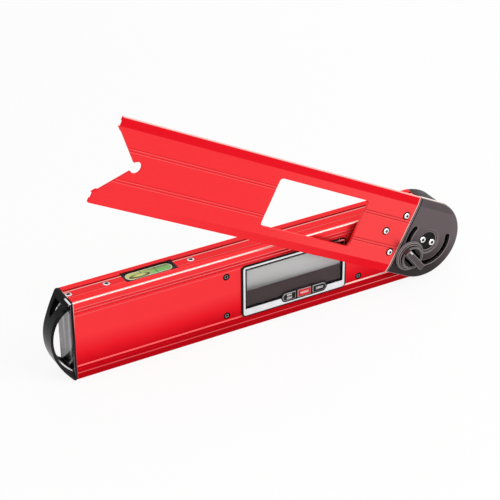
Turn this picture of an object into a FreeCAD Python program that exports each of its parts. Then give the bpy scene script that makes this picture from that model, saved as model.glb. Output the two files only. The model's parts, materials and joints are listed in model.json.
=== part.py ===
import FreeCAD, Part
import math
import os
import Sketcher

# Digital angle finder: a box rail with a display and a vial, and a flat arm that
# folds over its front face on a friction pivot with a clamp knob.
#
# Frame, in millimetres: X runs along the rail towards the hinge, the display
# faces -Y and Z points up. The origin is the middle of the rail's bottom face.
# Pieces of the arm are drawn about the pivot with the arm closed, pointing
# along -X, and each of their bodies is turned by arm_angle about the pivot.

SIZES = {
    # rail: an aluminium box extrusion
    "rail_length": 322.0,
    "rail_height": 70.0,
    "rail_depth": 27.5,
    "side_wall": 2.2,
    "edge_wall": 2.6,
    "rail_edge": 1.0,
    "groove_outer": 7.0,
    "groove_inner": 9.6,
    "groove_half": 0.55,
    "groove_depth": 0.45,
    "face_step": 12.1,
    "face_recess": 0.5,
    "spine_offset": 1.2,
    "channel_half": 5.4,
    "channel_depth": 0.4,
    # pivot
    "pivot_gap": 0.5,
    "hub_radius": 8.0,
    "hub_step_radius": 6.0,
    "bush_wall": 2.0,
    "boss_radius": 15.5,
    "boss_height": 1.2,
    "washer_thickness": 1.0,
    "bearing_length": 15.75,
    "spring_height": 1.7,
    "spring_sheet": 0.6,
    "ring_thickness": 1.0,
    "ring_groove": 0.7,
    "ring_width": 3.3,
    "running_gap": 0.05,
    "slip_gap": 0.05,
    "fit_gap": 0.15,
    # angle encoder
    "rotor_radius": 18.0,
    "rotor_thickness": 1.5,
    "rotor_back": 0.7,
    "encoder_gap": 0.6,
    "encoder_board_radius": 21.0,
    "encoder_ledge": 2.3,
    "board_thickness": 1.6,
    "rear_cover_radius": 27.0,
    "rear_screw_ring_radius": 23.8,
    # hinge end
    "spigot_length": 36.0,
    "hinge_end_offset": 4.0,
    "hinge_end_round": 1.6,
    "hinge_screw_inset": 30.0,
    "hinge_screw_spread": 20.0,
    # arm
    "arm_angle": 27.5,
    "arm_below": 45.0,
    "arm_open": 180.0,
    "arm_standoff": 6.3,
    "arm_tip": 328.0,
    "arm_start": 27.5,
    "arm_web": 2.6,
    "arm_thin_web": 2.4,
    "arm_rib_depth": 4.4,
    "arm_rib_inner": 23.6,
    "arm_rib_width": 3.4,
    "arm_edge_depth": 4.0,
    "arm_edge_width": 3.5,
    "bevel_width": 7.0,
    "bevel_depth": 1.2,
    "arm_groove_a": 11.4,
    "arm_groove_b": 13.6,
    "arm_groove_half": 0.4,
    "arm_groove_depth": 0.35,
    "window_start": 78.7,
    "window_length": 93.9,
    "window_half_height": 21.0,
    "window_corner": 3.0,
    "notch_depth": 26.5,
    "notch_relief": 4.9,
    # hinge plate, rivets and cover
    "plate_thickness": 1.5,
    "plate_radius": 29.0,
    "plate_reach": 56.0,
    "plate_half_width": 22.5,
    "rivet_near": 34.6,
    "rivet_far": 48.4,
    "rivet_spread": 17.0,
    "rivet_radius": 1.5,
    "rivet_head_radius": 2.9,
    "rivet_head_height": 1.1,
    "rivet_tail_radius": 2.6,
    "rivet_tail_height": 0.7,
    "cover_gap": 0.9,
    "cover_offset": 3.5,
    "cover_wall": 2.0,
    "cover_clearance": 0.8,
    "stake_ring_radius": 26.6,
    "stake_radius": 1.25,
    "dish_radius": 11.0,
    "dish_depth": 0.6,
    "recess_radius": 8.2,
    "retainer_thickness": 1.0,
    "pivot_screw_offset": 5.25,
    "pivot_screw_head": 2.85,
    "pivot_screw_height": 1.5,
    "pivot_screw_length": 7.0,
    "pivot_socket_across": 2.4,
    "pivot_socket_depth": 1.2,
    # clamp
    "clamp_radius": 20.4,
    "clamp_angle": 203.5,
    "slot_half_width": 2.4,
    "slot_run_out_angle": 1.2,
    "bolt_radius": 2.0,
    "bolt_head_across": 7.0,
    "bolt_head_height": 2.8,
    "bolt_seat": 3.4,
    "bolt_reach": 8.3,
    "bolt_bevel": 0.5,
    "pad_gap": 0.4,
    "clamp_gap": 0.1,
    "knob_flange_radius": 13.5,
    "knob_flange_height": 2.6,
    "knob_drum_radius": 10.4,
    "knob_drum_height": 6.2,
    "knob_dish_depth": 1.0,
    "knob_dish_rim": 1.6,
    "knob_bar_length": 25.0,
    "knob_bar_width": 6.1,
    "knob_bar_height": 10.45,
    "knob_bar_corner": 1.2,
    "knob_bar_angle": 51.5,
    "insert_radius": 2.9,
    "insert_length": 7.6,
    # display
    "display_offset": 34.3,
    "bezel_length": 98.3,
    "bezel_height": 47.7,
    "bezel_corner": 3.4,
    "bezel_lip": 2.85,
    "bezel_proud": 0.7,
    "bezel_sink": 0.2,
    "bezel_skirt_depth": 7.2,
    "trim_edge": 1.2,
    "trim_side": 1.8,
    "trim_top": 1.6,
    "trim_bottom": 6.0,
    "trim_thickness": 0.7,
    "trim_proud": 0.2,
    "frame_rim": 0.75,
    "lens_thickness": 0.95,
    "lens_setback": 0.5,
    "lens_ledge": 1.0,
    "lcd_thickness": 2.2,
    "lcd_rise": 14.4,
    "strip_width": 2.0,
    "main_board_gap": 8.75,
    "board_edge_x": 3.85,
    "board_edge_z": 5.8,
    "chassis_edge_x": 5.35,
    "chassis_edge_z": 9.3,
    "chassis_thickness": 1.6,
    "chassis_boss_wall": 1.9,
    "display_screw_beyond": 13.5,
    "display_screw_inset": 5.65,
    "screw_radius": 1.5,
    "screw_head_radius": 2.9,
    "screw_head_height": 0.8,
    "screw_seat_depth": 0.8,
    "recess_reach": 1.55,
    "recess_half_width": 0.32,
    "screw_length": 11.0,
    # buttons
    "button_shift": 9.1,
    "button_rise": 7.25,
    "button_pitch": 14.4,
    "button_half_length": 6.3,
    "button_half_height": 3.5,
    "button_proud": 1.3,
    "button_gap": 0.25,
    "button_cap_depth": 3.2,
    "button_travel": 0.8,
    "stem_radius": 1.6,
    "dome_radius": 3.0,
    "dome_height": 2.2,
    "dome_lip": 0.4,
    "island_rim": 1.1,
    # vial
    "vial_from_end": 71.8,
    "vial_window_length": 45.0,
    "vial_window_width": 14.8,
    "vial_screw_reach": 36.7,
    "end_screw_inset": 2.9,
    "top_screw_length": 7.5,
    "vial_holder_depth": 17.2,
    "vial_flange_thickness": 3.5,
    "vial_flange_half_width": 9.9,
    "vial_flange_half_length": 41.0,
    "vial_half_length": 20.7,
    "vial_half_width": 6.3,
    "vial_setback": 0.9,
    "vial_base": 1.9,
    "barrel_radius": 5.2,
    "barrel_half_length": 18.8,
    "bubble_shift": 6.5,
    "bubble_half_length": 5.0,
    "bubble_radius": 1.9,
    # battery bay
    "battery_from_end": 71.0,
    "battery_height": 25.0,
    "cell_radius": 5.25,
    "cell_length": 44.5,
    "cell_nub_radius": 1.9,
    "cell_nub_height": 1.0,
    "cell_pitch": 12.0,
    "tray_half_length": 33.0,
    "tray_half_height": 14.0,
    "tray_wall": 1.5,
    "tray_depth": 14.0,
    "contact_thickness": 0.6,
    "contact_gap": 0.2,
    "door_half_length": 31.0,
    "door_half_height": 12.0,
    "door_screw_reach": 28.2,
    # end cap with hang loop
    "cap_plate": 2.0,
    "cap_spigot_length": 12.0,
    "cap_spigot_wall": 2.2,
    "loop_reach": 17.8,
    "loop_thickness": 2.2,
    "loop_outer_radius": 47.5,
    "loop_inner_radius": 34.4,
    "loop_half_width": 7.7,
    "loop_foot_half_width": 13.2,
    "loop_flare_height": 18.0,
    "loop_foot_inset": 1.5,
    "fork_foot": 3.5,
    "fork_reach": 14.0,
    "fork_tip_radius": 2.2,
    "fork_half_width": 5.4,
    # sensor ribbon
    "ribbon_thickness": 0.4,
    "ribbon_width": 8.0,
    "ribbon_height": 45.0,
    "ribbon_lap": 6.0,
    "ribbon_turn": 4.0,
    "ribbon_ramp": 8.0,
}


class Size:
    """A length or an angle: its expression in the document and its number."""

    def __init__(self, text, number):
        self.text = text
        self.number = number

    def __add__(self, other):
        return combine(self, "+", other)

    def __radd__(self, other):
        return combine(other, "+", self)

    def __sub__(self, other):
        return combine(self, "-", other)

    def __rsub__(self, other):
        return combine(other, "-", self)

    def __mul__(self, other):
        return combine(self, "*", other)

    def __rmul__(self, other):
        return combine(other, "*", self)

    def __truediv__(self, other):
        return combine(self, "/", other)

    def __neg__(self):
        return combine(0, "-", self)


def as_size(value):
    if isinstance(value, Size):
        return value
    return Size(f"({float(value):.9g})", float(value))


def combine(first, sign, second):
    first, second = as_size(first), as_size(second)
    a, b = first.number, second.number
    number = {"+": a + b, "-": a - b, "*": a * b}.get(sign)
    if sign == "/":
        number = a / b
    return Size(f"({first.text} {sign} {second.text})", number)


def cosine(angle):
    angle = as_size(angle)
    return Size(f"cos({angle.text} * 1 deg)", math.cos(math.radians(angle.number)))


def sine(angle):
    angle = as_size(angle)
    return Size(f"sin({angle.text} * 1 deg)", math.sin(math.radians(angle.number)))


def root(value):
    return Size(f"sqrt({value.text})", math.sqrt(value.number))


class Sheet:
    """The driving dimensions, each a named cell of the document's spreadsheet."""

    def __init__(self, document, sizes):
        self.cells = document.addObject("Spreadsheet::Sheet", "sizes")
        for row, (name, number) in enumerate(sizes.items(), start=1):
            self.cells.set(f"A{row}", name)
            self.cells.set(f"B{row}", str(number))
            self.cells.setAlias(f"B{row}", name)
            setattr(self, name, Size(f"sizes.{name}", number))


document = FreeCAD.newDocument("angle_finder")
s = Sheet(document, SIZES)
document.recompute()

# ---------------------------------------------------------------- derived places

RAIL_LEFT = -s.rail_length / 2
RAIL_RIGHT = s.rail_length / 2
FRONT = -s.rail_depth / 2
BACK = s.rail_depth / 2
FACE = FRONT + s.face_recess
INSIDE_FRONT = FRONT + s.side_wall
INSIDE_BACK = BACK - s.side_wall
TOP = s.rail_height
INSIDE_TOP = TOP - s.edge_wall
CHANNEL_TOP = TOP - s.channel_depth

PIVOT_X = RAIL_RIGHT + s.pivot_gap
PIVOT_Z = s.rail_height / 2
HALF_HEIGHT = s.rail_height / 2
SPINE_Y = s.spine_offset

ARM_FRONT = FRONT - s.arm_standoff
PLATE_FRONT = ARM_FRONT + s.arm_web
PLATE_BACK = PLATE_FRONT + s.plate_thickness
BOSS_FRONT = PLATE_BACK + s.washer_thickness
BEARING_BACK = BOSS_FRONT + s.bearing_length + s.boss_height
COVER_BACK = FRONT - s.cover_clearance
COVER_FLOOR = PLATE_FRONT

BUSH_RADIUS = s.hub_radius + s.running_gap + s.bush_wall
RING_FRONT = BEARING_BACK + s.slip_gap + s.spring_height
RING_BACK = RING_FRONT + s.ring_thickness + s.running_gap * 2
ROTOR_FRONT = RING_BACK + s.rotor_back
ROTOR_BACK = ROTOR_FRONT + s.rotor_thickness
ENCODER_FRONT = ROTOR_BACK + s.encoder_gap
ENCODER_BACK = ENCODER_FRONT + s.board_thickness

CLAMP_X = PIVOT_X + s.clamp_radius * cosine(s.clamp_angle)
CLAMP_Z = PIVOT_Z + s.clamp_radius * sine(s.clamp_angle)
PAD_RADIUS = s.clamp_radius - s.boss_radius - s.pad_gap
KNOB_BASE = ARM_FRONT - s.clamp_gap
BOLT_SEAT = INSIDE_FRONT + s.fit_gap + s.bolt_seat
SLOT_START = s.clamp_angle - s.arm_below - s.slot_run_out_angle
SLOT_END = s.clamp_angle + s.arm_open + s.slot_run_out_angle

DISPLAY_X = s.display_offset
DISPLAY_Z = PIVOT_Z
BEZEL_FRONT = FRONT - s.bezel_proud
TRIM_FRONT = BEZEL_FRONT - s.trim_proud
TRIM_BACK = TRIM_FRONT + s.trim_thickness
LENS_FRONT = BEZEL_FRONT + s.lens_setback
LENS_BACK = LENS_FRONT + s.lens_thickness
BEZEL_BACK = FACE + s.bezel_sink
SKIRT_BACK = FACE + s.bezel_skirt_depth
TRIM_HALF_LENGTH = s.bezel_length / 2 - s.trim_edge
TRIM_HALF_HEIGHT = s.bezel_height / 2 - s.trim_edge
TRIM_OPENING = (
    -(TRIM_HALF_LENGTH - s.trim_side),
    -(TRIM_HALF_HEIGHT - s.trim_bottom),
    TRIM_HALF_LENGTH - s.trim_side,
    TRIM_HALF_HEIGHT - s.trim_top,
)
APERTURE = (
    TRIM_OPENING[0] + s.frame_rim,
    TRIM_OPENING[1] + s.frame_rim,
    TRIM_OPENING[2] - s.frame_rim,
    TRIM_OPENING[3] - s.frame_rim,
)
MAIN_BOARD_FRONT = FRONT + s.main_board_gap
DISPLAY_SCREW_X = s.bezel_length / 2 + s.display_screw_beyond
DISPLAY_SCREW_Z = s.bezel_height / 2 - s.display_screw_inset
MAIN_BOARD_HALF_LENGTH = DISPLAY_SCREW_X + s.board_edge_x
MAIN_BOARD_HALF_HEIGHT = DISPLAY_SCREW_Z + s.board_edge_z
LCD_FRONT = LENS_BACK + s.fit_gap
BUTTON_FRONT = FRONT - s.button_proud
BUTTON_X = DISPLAY_X + s.button_shift
BUTTON_Z = DISPLAY_Z - s.bezel_height / 2 + s.button_rise

VIAL_X = RAIL_LEFT + s.vial_from_end
VIAL_TOP = CHANNEL_TOP - s.vial_setback
VIAL_BOTTOM = CHANNEL_TOP - s.vial_holder_depth + s.vial_base
BARREL_Z = VIAL_TOP - s.vial_half_width
BATTERY_X = RAIL_LEFT + s.battery_from_end
CELL_Y = INSIDE_BACK - s.cell_radius - s.contact_gap
DOOR_BACK = BACK - s.face_recess

# half the angle of a hexagon's side, seen from its middle, in degrees
HEX_HALF_ANGLE = 30

ARM_PIECES = []
KNOB_PIECES = []


# ---------------------------------------------------------------- drawing helpers


class Circle:
    """A round outline about a centre."""

    def __init__(self, x, y, radius):
        self.x, self.y, self.radius = as_size(x), as_size(y), as_size(radius)


def rectangle(x0, y0, x1, y1):
    return [(x0, y0), (x1, y0), (x1, y1), (x0, y1)]


def rounded(x0, y0, x1, y1, radius):
    """A rectangle with rounded corners, counter-clockwise."""
    return [
        (x0 + radius, y0),
        (x1 - radius, y0, radius),
        (x1, y0 + radius),
        (x1, y1 - radius, radius),
        (x1 - radius, y1),
        (x0 + radius, y1, radius),
        (x0, y1 - radius),
        (x0, y0 + radius, radius),
    ]


def stadium(x, y, half_length, half_width):
    """A slot shape along the first axis, its round ends drawn as quarter arcs."""
    flat = half_length - half_width
    return [
        (x - flat, y - half_width),
        (x + flat, y - half_width, half_width),
        (x + half_length, y, half_width),
        (x + flat, y + half_width),
        (x - flat, y + half_width, half_width),
        (x - half_length, y, half_width),
    ]


def polar(radius, angle):
    return radius * cosine(angle), radius * sine(angle)


def arc_slot(radius, half_width, start, end, spans=3):
    """A curved slot about the origin, from angle start to angle end."""
    steps = [start + (end - start) * (k / spans) for k in range(spans + 1)]
    outer, inner = radius + half_width, radius - half_width
    points = [(*polar(outer, angle), outer) for angle in steps[:-1]]
    points.append((*polar(outer, end), half_width))
    points.append((
        radius * cosine(end) - half_width * sine(end),
        radius * sine(end) + half_width * cosine(end),
        half_width,
    ))
    points += [(*polar(inner, angle), -inner) for angle in reversed(steps[1:])]
    points.append((*polar(inner, start), half_width))
    points.append((
        radius * cosine(start) + half_width * sine(start),
        radius * sine(start) - half_width * cosine(start),
        half_width,
    ))
    return points


def hex_corner(across):
    """How far a hexagon's corners are from its middle."""
    return as_size(across) / 2 / cosine(HEX_HALF_ANGLE)


def hexagon(x, y, across):
    """A hexagon with two flats parallel to the first axis."""
    corner = hex_corner(across)
    return [(x + corner * cosine(a), y + corner * sine(a)) for a in range(0, 360, 60)]


def cross(x, y, reach, half_width):
    """A plus sign, the recess of a cross-head screw."""
    turns = ((1, 1), (-1, 1), (-1, -1), (1, -1))
    points = []
    for across, up in turns:
        near = (x + half_width * across, y + half_width * up)
        side = (x + reach * across, y + half_width * up)
        over = (x + half_width * across, y + reach * up)
        points += [side, near, over] if across == up else [over, near, side]
    return points


def new_sketch(body, name, plane, offset):
    """A sketch parallel to one of the body's own origin planes."""
    sketch = body.newObject("Sketcher::SketchObject", name)
    support = next(f for f in body.Origin.OriginFeatures if f.Role == f"{plane}_Plane")
    sketch.AttachmentSupport = (support, [""])
    sketch.MapMode = "FlatFace"
    sketch.setExpression("AttachmentOffset.Base.z", as_size(offset).text)
    return sketch


def arc_geometry(start, end, radius):
    """The shorter arc between two points; a negative radius turns clockwise."""
    chord = end - start
    drop = math.sqrt(max(radius * radius - chord.Length**2 / 4, 0.0))
    normal = FreeCAD.Vector(-chord.y, chord.x, 0).normalize()
    centre = (start + end) * 0.5 + normal * math.copysign(drop, radius)
    first = math.atan2(start.y - centre.y, start.x - centre.x)
    last = math.atan2(end.y - centre.y, end.x - centre.x)
    if radius < 0:
        first, last = last, first
    circle = Part.Circle(centre, FreeCAD.Vector(0, 0, 1), abs(radius))
    return Part.ArcOfCircle(circle, first, last)


def add_constraints(sketch, constraints):
    """Adds (constraint, size or None) pairs and ties each size to the sheet."""
    first = sketch.ConstraintCount
    sketch.addConstraint([constraint for constraint, _ in constraints])
    for index, (_, size) in enumerate(constraints, start=first):
        if size is not None:
            sketch.setExpression(f"Constraints[{index}]", size.text)


def draw(sketch, outline):
    """Draws a closed outline, or a Circle, fully fixed by sizes."""
    base = sketch.GeometryCount
    if isinstance(outline, Circle):
        centre = FreeCAD.Vector(outline.x.number, outline.y.number, 0)
        normal = FreeCAD.Vector(0, 0, 1)
        sketch.addGeometry(Part.Circle(centre, normal, outline.radius.number), False)
        add_constraints(sketch, [
            (Sketcher.Constraint("DistanceX", -1, 1, base, 3, centre.x), outline.x),
            (Sketcher.Constraint("DistanceY", -1, 1, base, 3, centre.y), outline.y),
            (Sketcher.Constraint("Radius", base, outline.radius.number), outline.radius),
        ])
        return
    corners = [tuple(as_size(value) for value in corner) for corner in outline]
    shapes, ends = [], []
    for corner, following in zip(corners, corners[1:] + corners[:1]):
        start = FreeCAD.Vector(corner[0].number, corner[1].number, 0)
        end = FreeCAD.Vector(following[0].number, following[1].number, 0)
        if len(corner) == 2:
            shapes.append(Part.LineSegment(start, end))
            ends.append((1, 2))
        else:
            radius = corner[2].number
            shapes.append(arc_geometry(start, end, radius))
            ends.append((1, 2) if radius > 0 else (2, 1))
    sketch.addGeometry(shapes, False)
    constraints = []
    count = len(corners)
    for index, corner in enumerate(corners):
        edge, following = base + index, base + (index + 1) % count
        first, last = ends[index]
        joined = ends[(index + 1) % count][0]
        constraints.append((
            Sketcher.Constraint("Coincident", edge, last, following, joined), None))
        x, y = corner[0], corner[1]
        constraints.append((
            Sketcher.Constraint("DistanceX", -1, 1, edge, first, x.number), x))
        constraints.append((
            Sketcher.Constraint("DistanceY", -1, 1, edge, first, y.number), y))
        if len(corner) == 3:
            radius = corner[2] if corner[2].number > 0 else -corner[2]
            constraints.append((
                Sketcher.Constraint("Radius", edge, radius.number), radius))
    add_constraints(sketch, constraints)


def new_body(name, group=None):
    """An empty body; a body of the arm or of the knob is turned into its place."""
    body = document.addObject("PartDesign::Body", name)
    body.Label = name
    body.AllowCompound = True
    if group is not None:
        group.append(body)
    return body


def feature_name(body, word):
    return f"{body.Name}_{word}"


def extrude(body, word, plane, start, length, outlines, kind="PartDesign::Pad"):
    """Extrudes outlines from start along the plane's normal: XY to +Z, YZ to +X,
    XZ to -Y, so on XZ the start is the rear face of what is added or cut."""
    offset = -as_size(start) if plane == "XZ" else start
    sketch = new_sketch(body, feature_name(body, word + "_sketch"), plane, offset)
    for outline in outlines:
        draw(sketch, outline)
    feature = body.newObject(kind, feature_name(body, word))
    feature.Profile = sketch
    feature.setExpression("Length", as_size(length).text)
    feature.Reversed = kind == "PartDesign::Pocket"
    return feature


def cut(body, word, plane, start, length, outlines):
    return extrude(body, word, plane, start, length, outlines, "PartDesign::Pocket")


def turn(body, word, axis, first, second, profile, kind="PartDesign::Revolution"):
    """Revolves (radius, position) corners about an axis parallel to X, Y or Z.

    first and second place the axis: (y, z) for X, (x, z) for Y and (x, y) for Z.
    """
    first, second = as_size(first), as_size(second)
    if axis == "X":
        plane, offset = "XY", second
        corners = [(at, first + radius) for radius, at in profile]
        ends = [(profile[0][1], first), (profile[-1][1], first)]
    elif axis == "Y":
        plane, offset = "XY", second
        corners = [(first + radius, at) for radius, at in profile]
        ends = [(first, profile[0][1]), (first, profile[-1][1])]
    else:
        plane, offset = "XZ", -second
        corners = [(first + radius, at) for radius, at in profile]
        ends = [(first, profile[0][1]), (first, profile[-1][1])]
    sketch = new_sketch(body, feature_name(body, word + "_sketch"), plane, offset)
    draw(sketch, corners)
    ends = [tuple(as_size(value) for value in end) for end in ends]
    if ends[0][0].number == ends[1][0].number and ends[0][1].number == ends[1][1].number:
        ends[1] = (ends[1][0] + (5 if axis == "X" else 0), ends[1][1] + (0 if axis == "X" else 5))
    points = [FreeCAD.Vector(x.number, y.number, 0) for x, y in ends]
    line = sketch.addGeometry(Part.LineSegment(*points), True)
    constraints = []
    for position, (x, y) in enumerate(ends, start=1):
        constraints.append((
            Sketcher.Constraint("DistanceX", -1, 1, line, position, x.number), x))
        constraints.append((
            Sketcher.Constraint("DistanceY", -1, 1, line, position, y.number), y))
    add_constraints(sketch, constraints)
    feature = body.newObject(kind, feature_name(body, word))
    feature.Profile = sketch
    feature.ReferenceAxis = (sketch, ["Axis0"])
    feature.Angle = 360
    return feature


def edges_where(shape, test):
    """Names of the edges whose middle point passes the test."""
    names = []
    for number, edge in enumerate(shape.Edges, start=1):
        middle = edge.valueAt((edge.FirstParameter + edge.LastParameter) / 2)
        if test(edge, middle):
            names.append(f"Edge{number}")
    return names


def chamfer(body, word, test, along, across):
    """Cuts a bevel on the picked edges of what the body holds so far."""
    document.recompute()
    base = body.Tip
    feature = body.newObject("PartDesign::Chamfer", feature_name(body, word))
    feature.Base = (base, edges_where(base.Shape, test))
    feature.ChamferType = "Two distances"
    feature.setExpression("Size", along.text)
    feature.setExpression("Size2", across.text)
    return feature


def fillet(body, word, test, radius):
    """Rounds the picked edges of what the body holds so far."""
    document.recompute()
    base = body.Tip
    feature = body.newObject("PartDesign::Fillet", feature_name(body, word))
    feature.Base = (base, edges_where(base.Shape, test))
    feature.setExpression("Radius", as_size(radius).text)
    return feature


# ---------------------------------------------------------------- rail


def rail_side(face, inward):
    """One long side of the rail's section, from bottom to top."""
    points = []

    def groove(height):
        points.append((face, height - s.groove_half))
        points.append((face + inward * s.groove_depth, height))
        points.append((face, height + s.groove_half))

    groove(s.groove_outer)
    groove(s.groove_inner)
    points.append((face, s.face_step))
    points.append((face + inward * s.face_recess, s.face_step))
    points.append((face + inward * s.face_recess, TOP - s.face_step))
    points.append((face, TOP - s.face_step))
    groove(TOP - s.groove_inner)
    groove(TOP - s.groove_outer)
    return points


def rail_section():
    """The rail's outer outline across X, with its grooves and the vial's channel."""
    edge = s.rail_edge
    channel_front, channel_back = SPINE_Y - s.channel_half, SPINE_Y + s.channel_half
    bottom = [
        (FRONT, edge, edge),
        (FRONT + edge, as_size(0)),
        (BACK - edge, as_size(0), edge),
        (BACK, edge),
    ]
    top = [
        (BACK, TOP - edge, edge),
        (BACK - edge, TOP),
        (channel_back, TOP),
        (channel_back, CHANNEL_TOP),
        (channel_front, CHANNEL_TOP),
        (channel_front, TOP),
        (FRONT + edge, TOP, edge),
        (FRONT, TOP - edge),
    ]
    return bottom + rail_side(BACK, -1) + top + rail_side(FRONT, 1)[::-1]


def top_screw_places():
    return (
        RAIL_LEFT + s.end_screw_inset,
        VIAL_X - s.vial_screw_reach,
        VIAL_X + s.vial_screw_reach,
    )


def display_screw_places():
    return [
        (DISPLAY_X + DISPLAY_SCREW_X * across, DISPLAY_Z + DISPLAY_SCREW_Z * up)
        for across in (-1, 1)
        for up in (-1, 1)
    ]


def hinge_screw_places():
    x = RAIL_RIGHT - s.hinge_screw_inset
    return [(x, PIVOT_Z + s.hinge_screw_spread * up) for up in (-1, 1)]


def make_rail():
    body = new_body("body_rail")
    cavity = rectangle(INSIDE_FRONT, s.edge_wall, INSIDE_BACK, INSIDE_TOP)
    extrude(body, "profile", "YZ", RAIL_LEFT, s.rail_length, [rail_section(), cavity])
    seat = s.fit_gap
    cut(body, "bezel_seat", "XZ", BEZEL_BACK, s.side_wall, [rounded(
        DISPLAY_X - s.bezel_length / 2 - seat,
        DISPLAY_Z - s.bezel_height / 2 - seat,
        DISPLAY_X + s.bezel_length / 2 + seat,
        DISPLAY_Z + s.bezel_height / 2 + seat,
        s.bezel_corner + seat,
    )])
    cut(body, "display_opening", "XZ", INSIDE_FRONT, s.side_wall, [rectangle(
        DISPLAY_X - s.bezel_length / 2 + s.bezel_lip,
        DISPLAY_Z - s.bezel_height / 2 + s.bezel_lip,
        DISPLAY_X + s.bezel_length / 2 - s.bezel_lip,
        DISPLAY_Z + s.bezel_height / 2 - s.bezel_lip,
    )])
    shank, head = s.screw_radius + s.fit_gap, s.screw_head_radius + s.fit_gap
    cut(body, "display_screw_holes", "XZ", INSIDE_FRONT, s.side_wall,
        [Circle(x, z, shank) for x, z in display_screw_places()])
    cut(body, "display_screw_seats", "XZ", FACE + s.screw_seat_depth, s.side_wall,
        [Circle(x, z, head) for x, z in display_screw_places()])
    cut(body, "vial_window", "XY", INSIDE_TOP, s.edge_wall, [rectangle(
        VIAL_X - s.vial_window_length / 2,
        SPINE_Y - s.vial_window_width / 2,
        VIAL_X + s.vial_window_length / 2,
        SPINE_Y + s.vial_window_width / 2,
    )])
    cut(body, "top_screw_holes", "XY", INSIDE_TOP, s.edge_wall,
        [Circle(x, SPINE_Y, shank) for x in top_screw_places()])
    cut(body, "top_screw_seats", "XY", CHANNEL_TOP - s.screw_seat_depth, s.edge_wall,
        [Circle(x, SPINE_Y, head) for x in top_screw_places()])
    cut(body, "clamp_hole", "XZ", INSIDE_FRONT, s.side_wall,
        [Circle(CLAMP_X, CLAMP_Z, s.bolt_radius + s.fit_gap)])
    cut(body, "boss_clearance", "XZ", INSIDE_FRONT, s.side_wall,
        [Circle(PIVOT_X, PIVOT_Z, s.boss_radius + s.fit_gap)])
    cut(body, "rear_cover_clearance", "XZ", BACK, s.side_wall,
        [Circle(PIVOT_X, PIVOT_Z, s.rear_cover_radius + s.fit_gap)])
    cut(body, "door_opening", "XZ", BACK, s.side_wall, [rectangle(
        BATTERY_X - s.door_half_length - s.fit_gap,
        s.battery_height - s.door_half_height - s.fit_gap,
        BATTERY_X + s.door_half_length + s.fit_gap,
        s.battery_height + s.door_half_height + s.fit_gap,
    )])
    cut(body, "hinge_screw_holes", "XZ", BACK, s.side_wall,
        [Circle(x, z, shank) for x, z in hinge_screw_places()])
    cut(body, "hinge_screw_seats", "XZ", BACK, s.face_recess + s.screw_seat_depth,
        [Circle(x, z, head) for x, z in hinge_screw_places()])
    return body


def add_screw(body, word, axis, place, seat, outward, length, recess_plane):
    """One pan-head cross-recess screw whose head sits on the level called seat."""
    first, second = place
    face = seat + outward * s.screw_head_height
    crown = seat + outward * s.screw_head_height * 0.6
    tip = seat - outward * length
    turn(body, word, axis, first, second, [
        (0, face),
        (s.screw_head_radius * 0.7, face),
        (s.screw_head_radius, crown),
        (s.screw_head_radius, seat),
        (s.screw_radius, seat),
        (s.screw_radius, tip),
        (0, tip),
    ])
    depth = s.screw_head_height * 0.7
    start = face - depth if recess_plane == "XY" else face
    if recess_plane == "XZ" and outward < 0:
        start = face + depth
    cut(body, word + "_recess", recess_plane, start, depth * 1.5 if outward < 0 or
        recess_plane == "XY" else depth, [cross(first, second, s.recess_reach, s.recess_half_width)])


def make_front_screws():
    body = new_body("front_screws")
    for number, place in enumerate(display_screw_places(), start=1):
        add_screw(body, f"screw_{number}", "Y", place, FACE + s.screw_seat_depth, -1,
                  s.screw_length, "XZ")
    return body


def make_top_screws():
    body = new_body("top_screws")
    for number, x in enumerate(top_screw_places(), start=1):
        add_screw(body, f"screw_{number}", "Z", (x, SPINE_Y),
                  CHANNEL_TOP - s.screw_seat_depth, 1, s.top_screw_length, "XY")
    return body


def make_hinge_screws():
    body = new_body("hinge_end_screws")
    for number, place in enumerate(hinge_screw_places(), start=1):
        add_screw(body, f"screw_{number}", "Y", place,
                  BACK - s.face_recess - s.screw_seat_depth, 1, s.top_screw_length, "XZ")
    return body


# ---------------------------------------------------------------- hinge end


def rear_screw_places():
    return [
        (PIVOT_X + s.rear_screw_ring_radius * cosine(angle),
         PIVOT_Z + s.rear_screw_ring_radius * sine(angle))
        for angle in (0, 120, 240)
    ]


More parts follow.
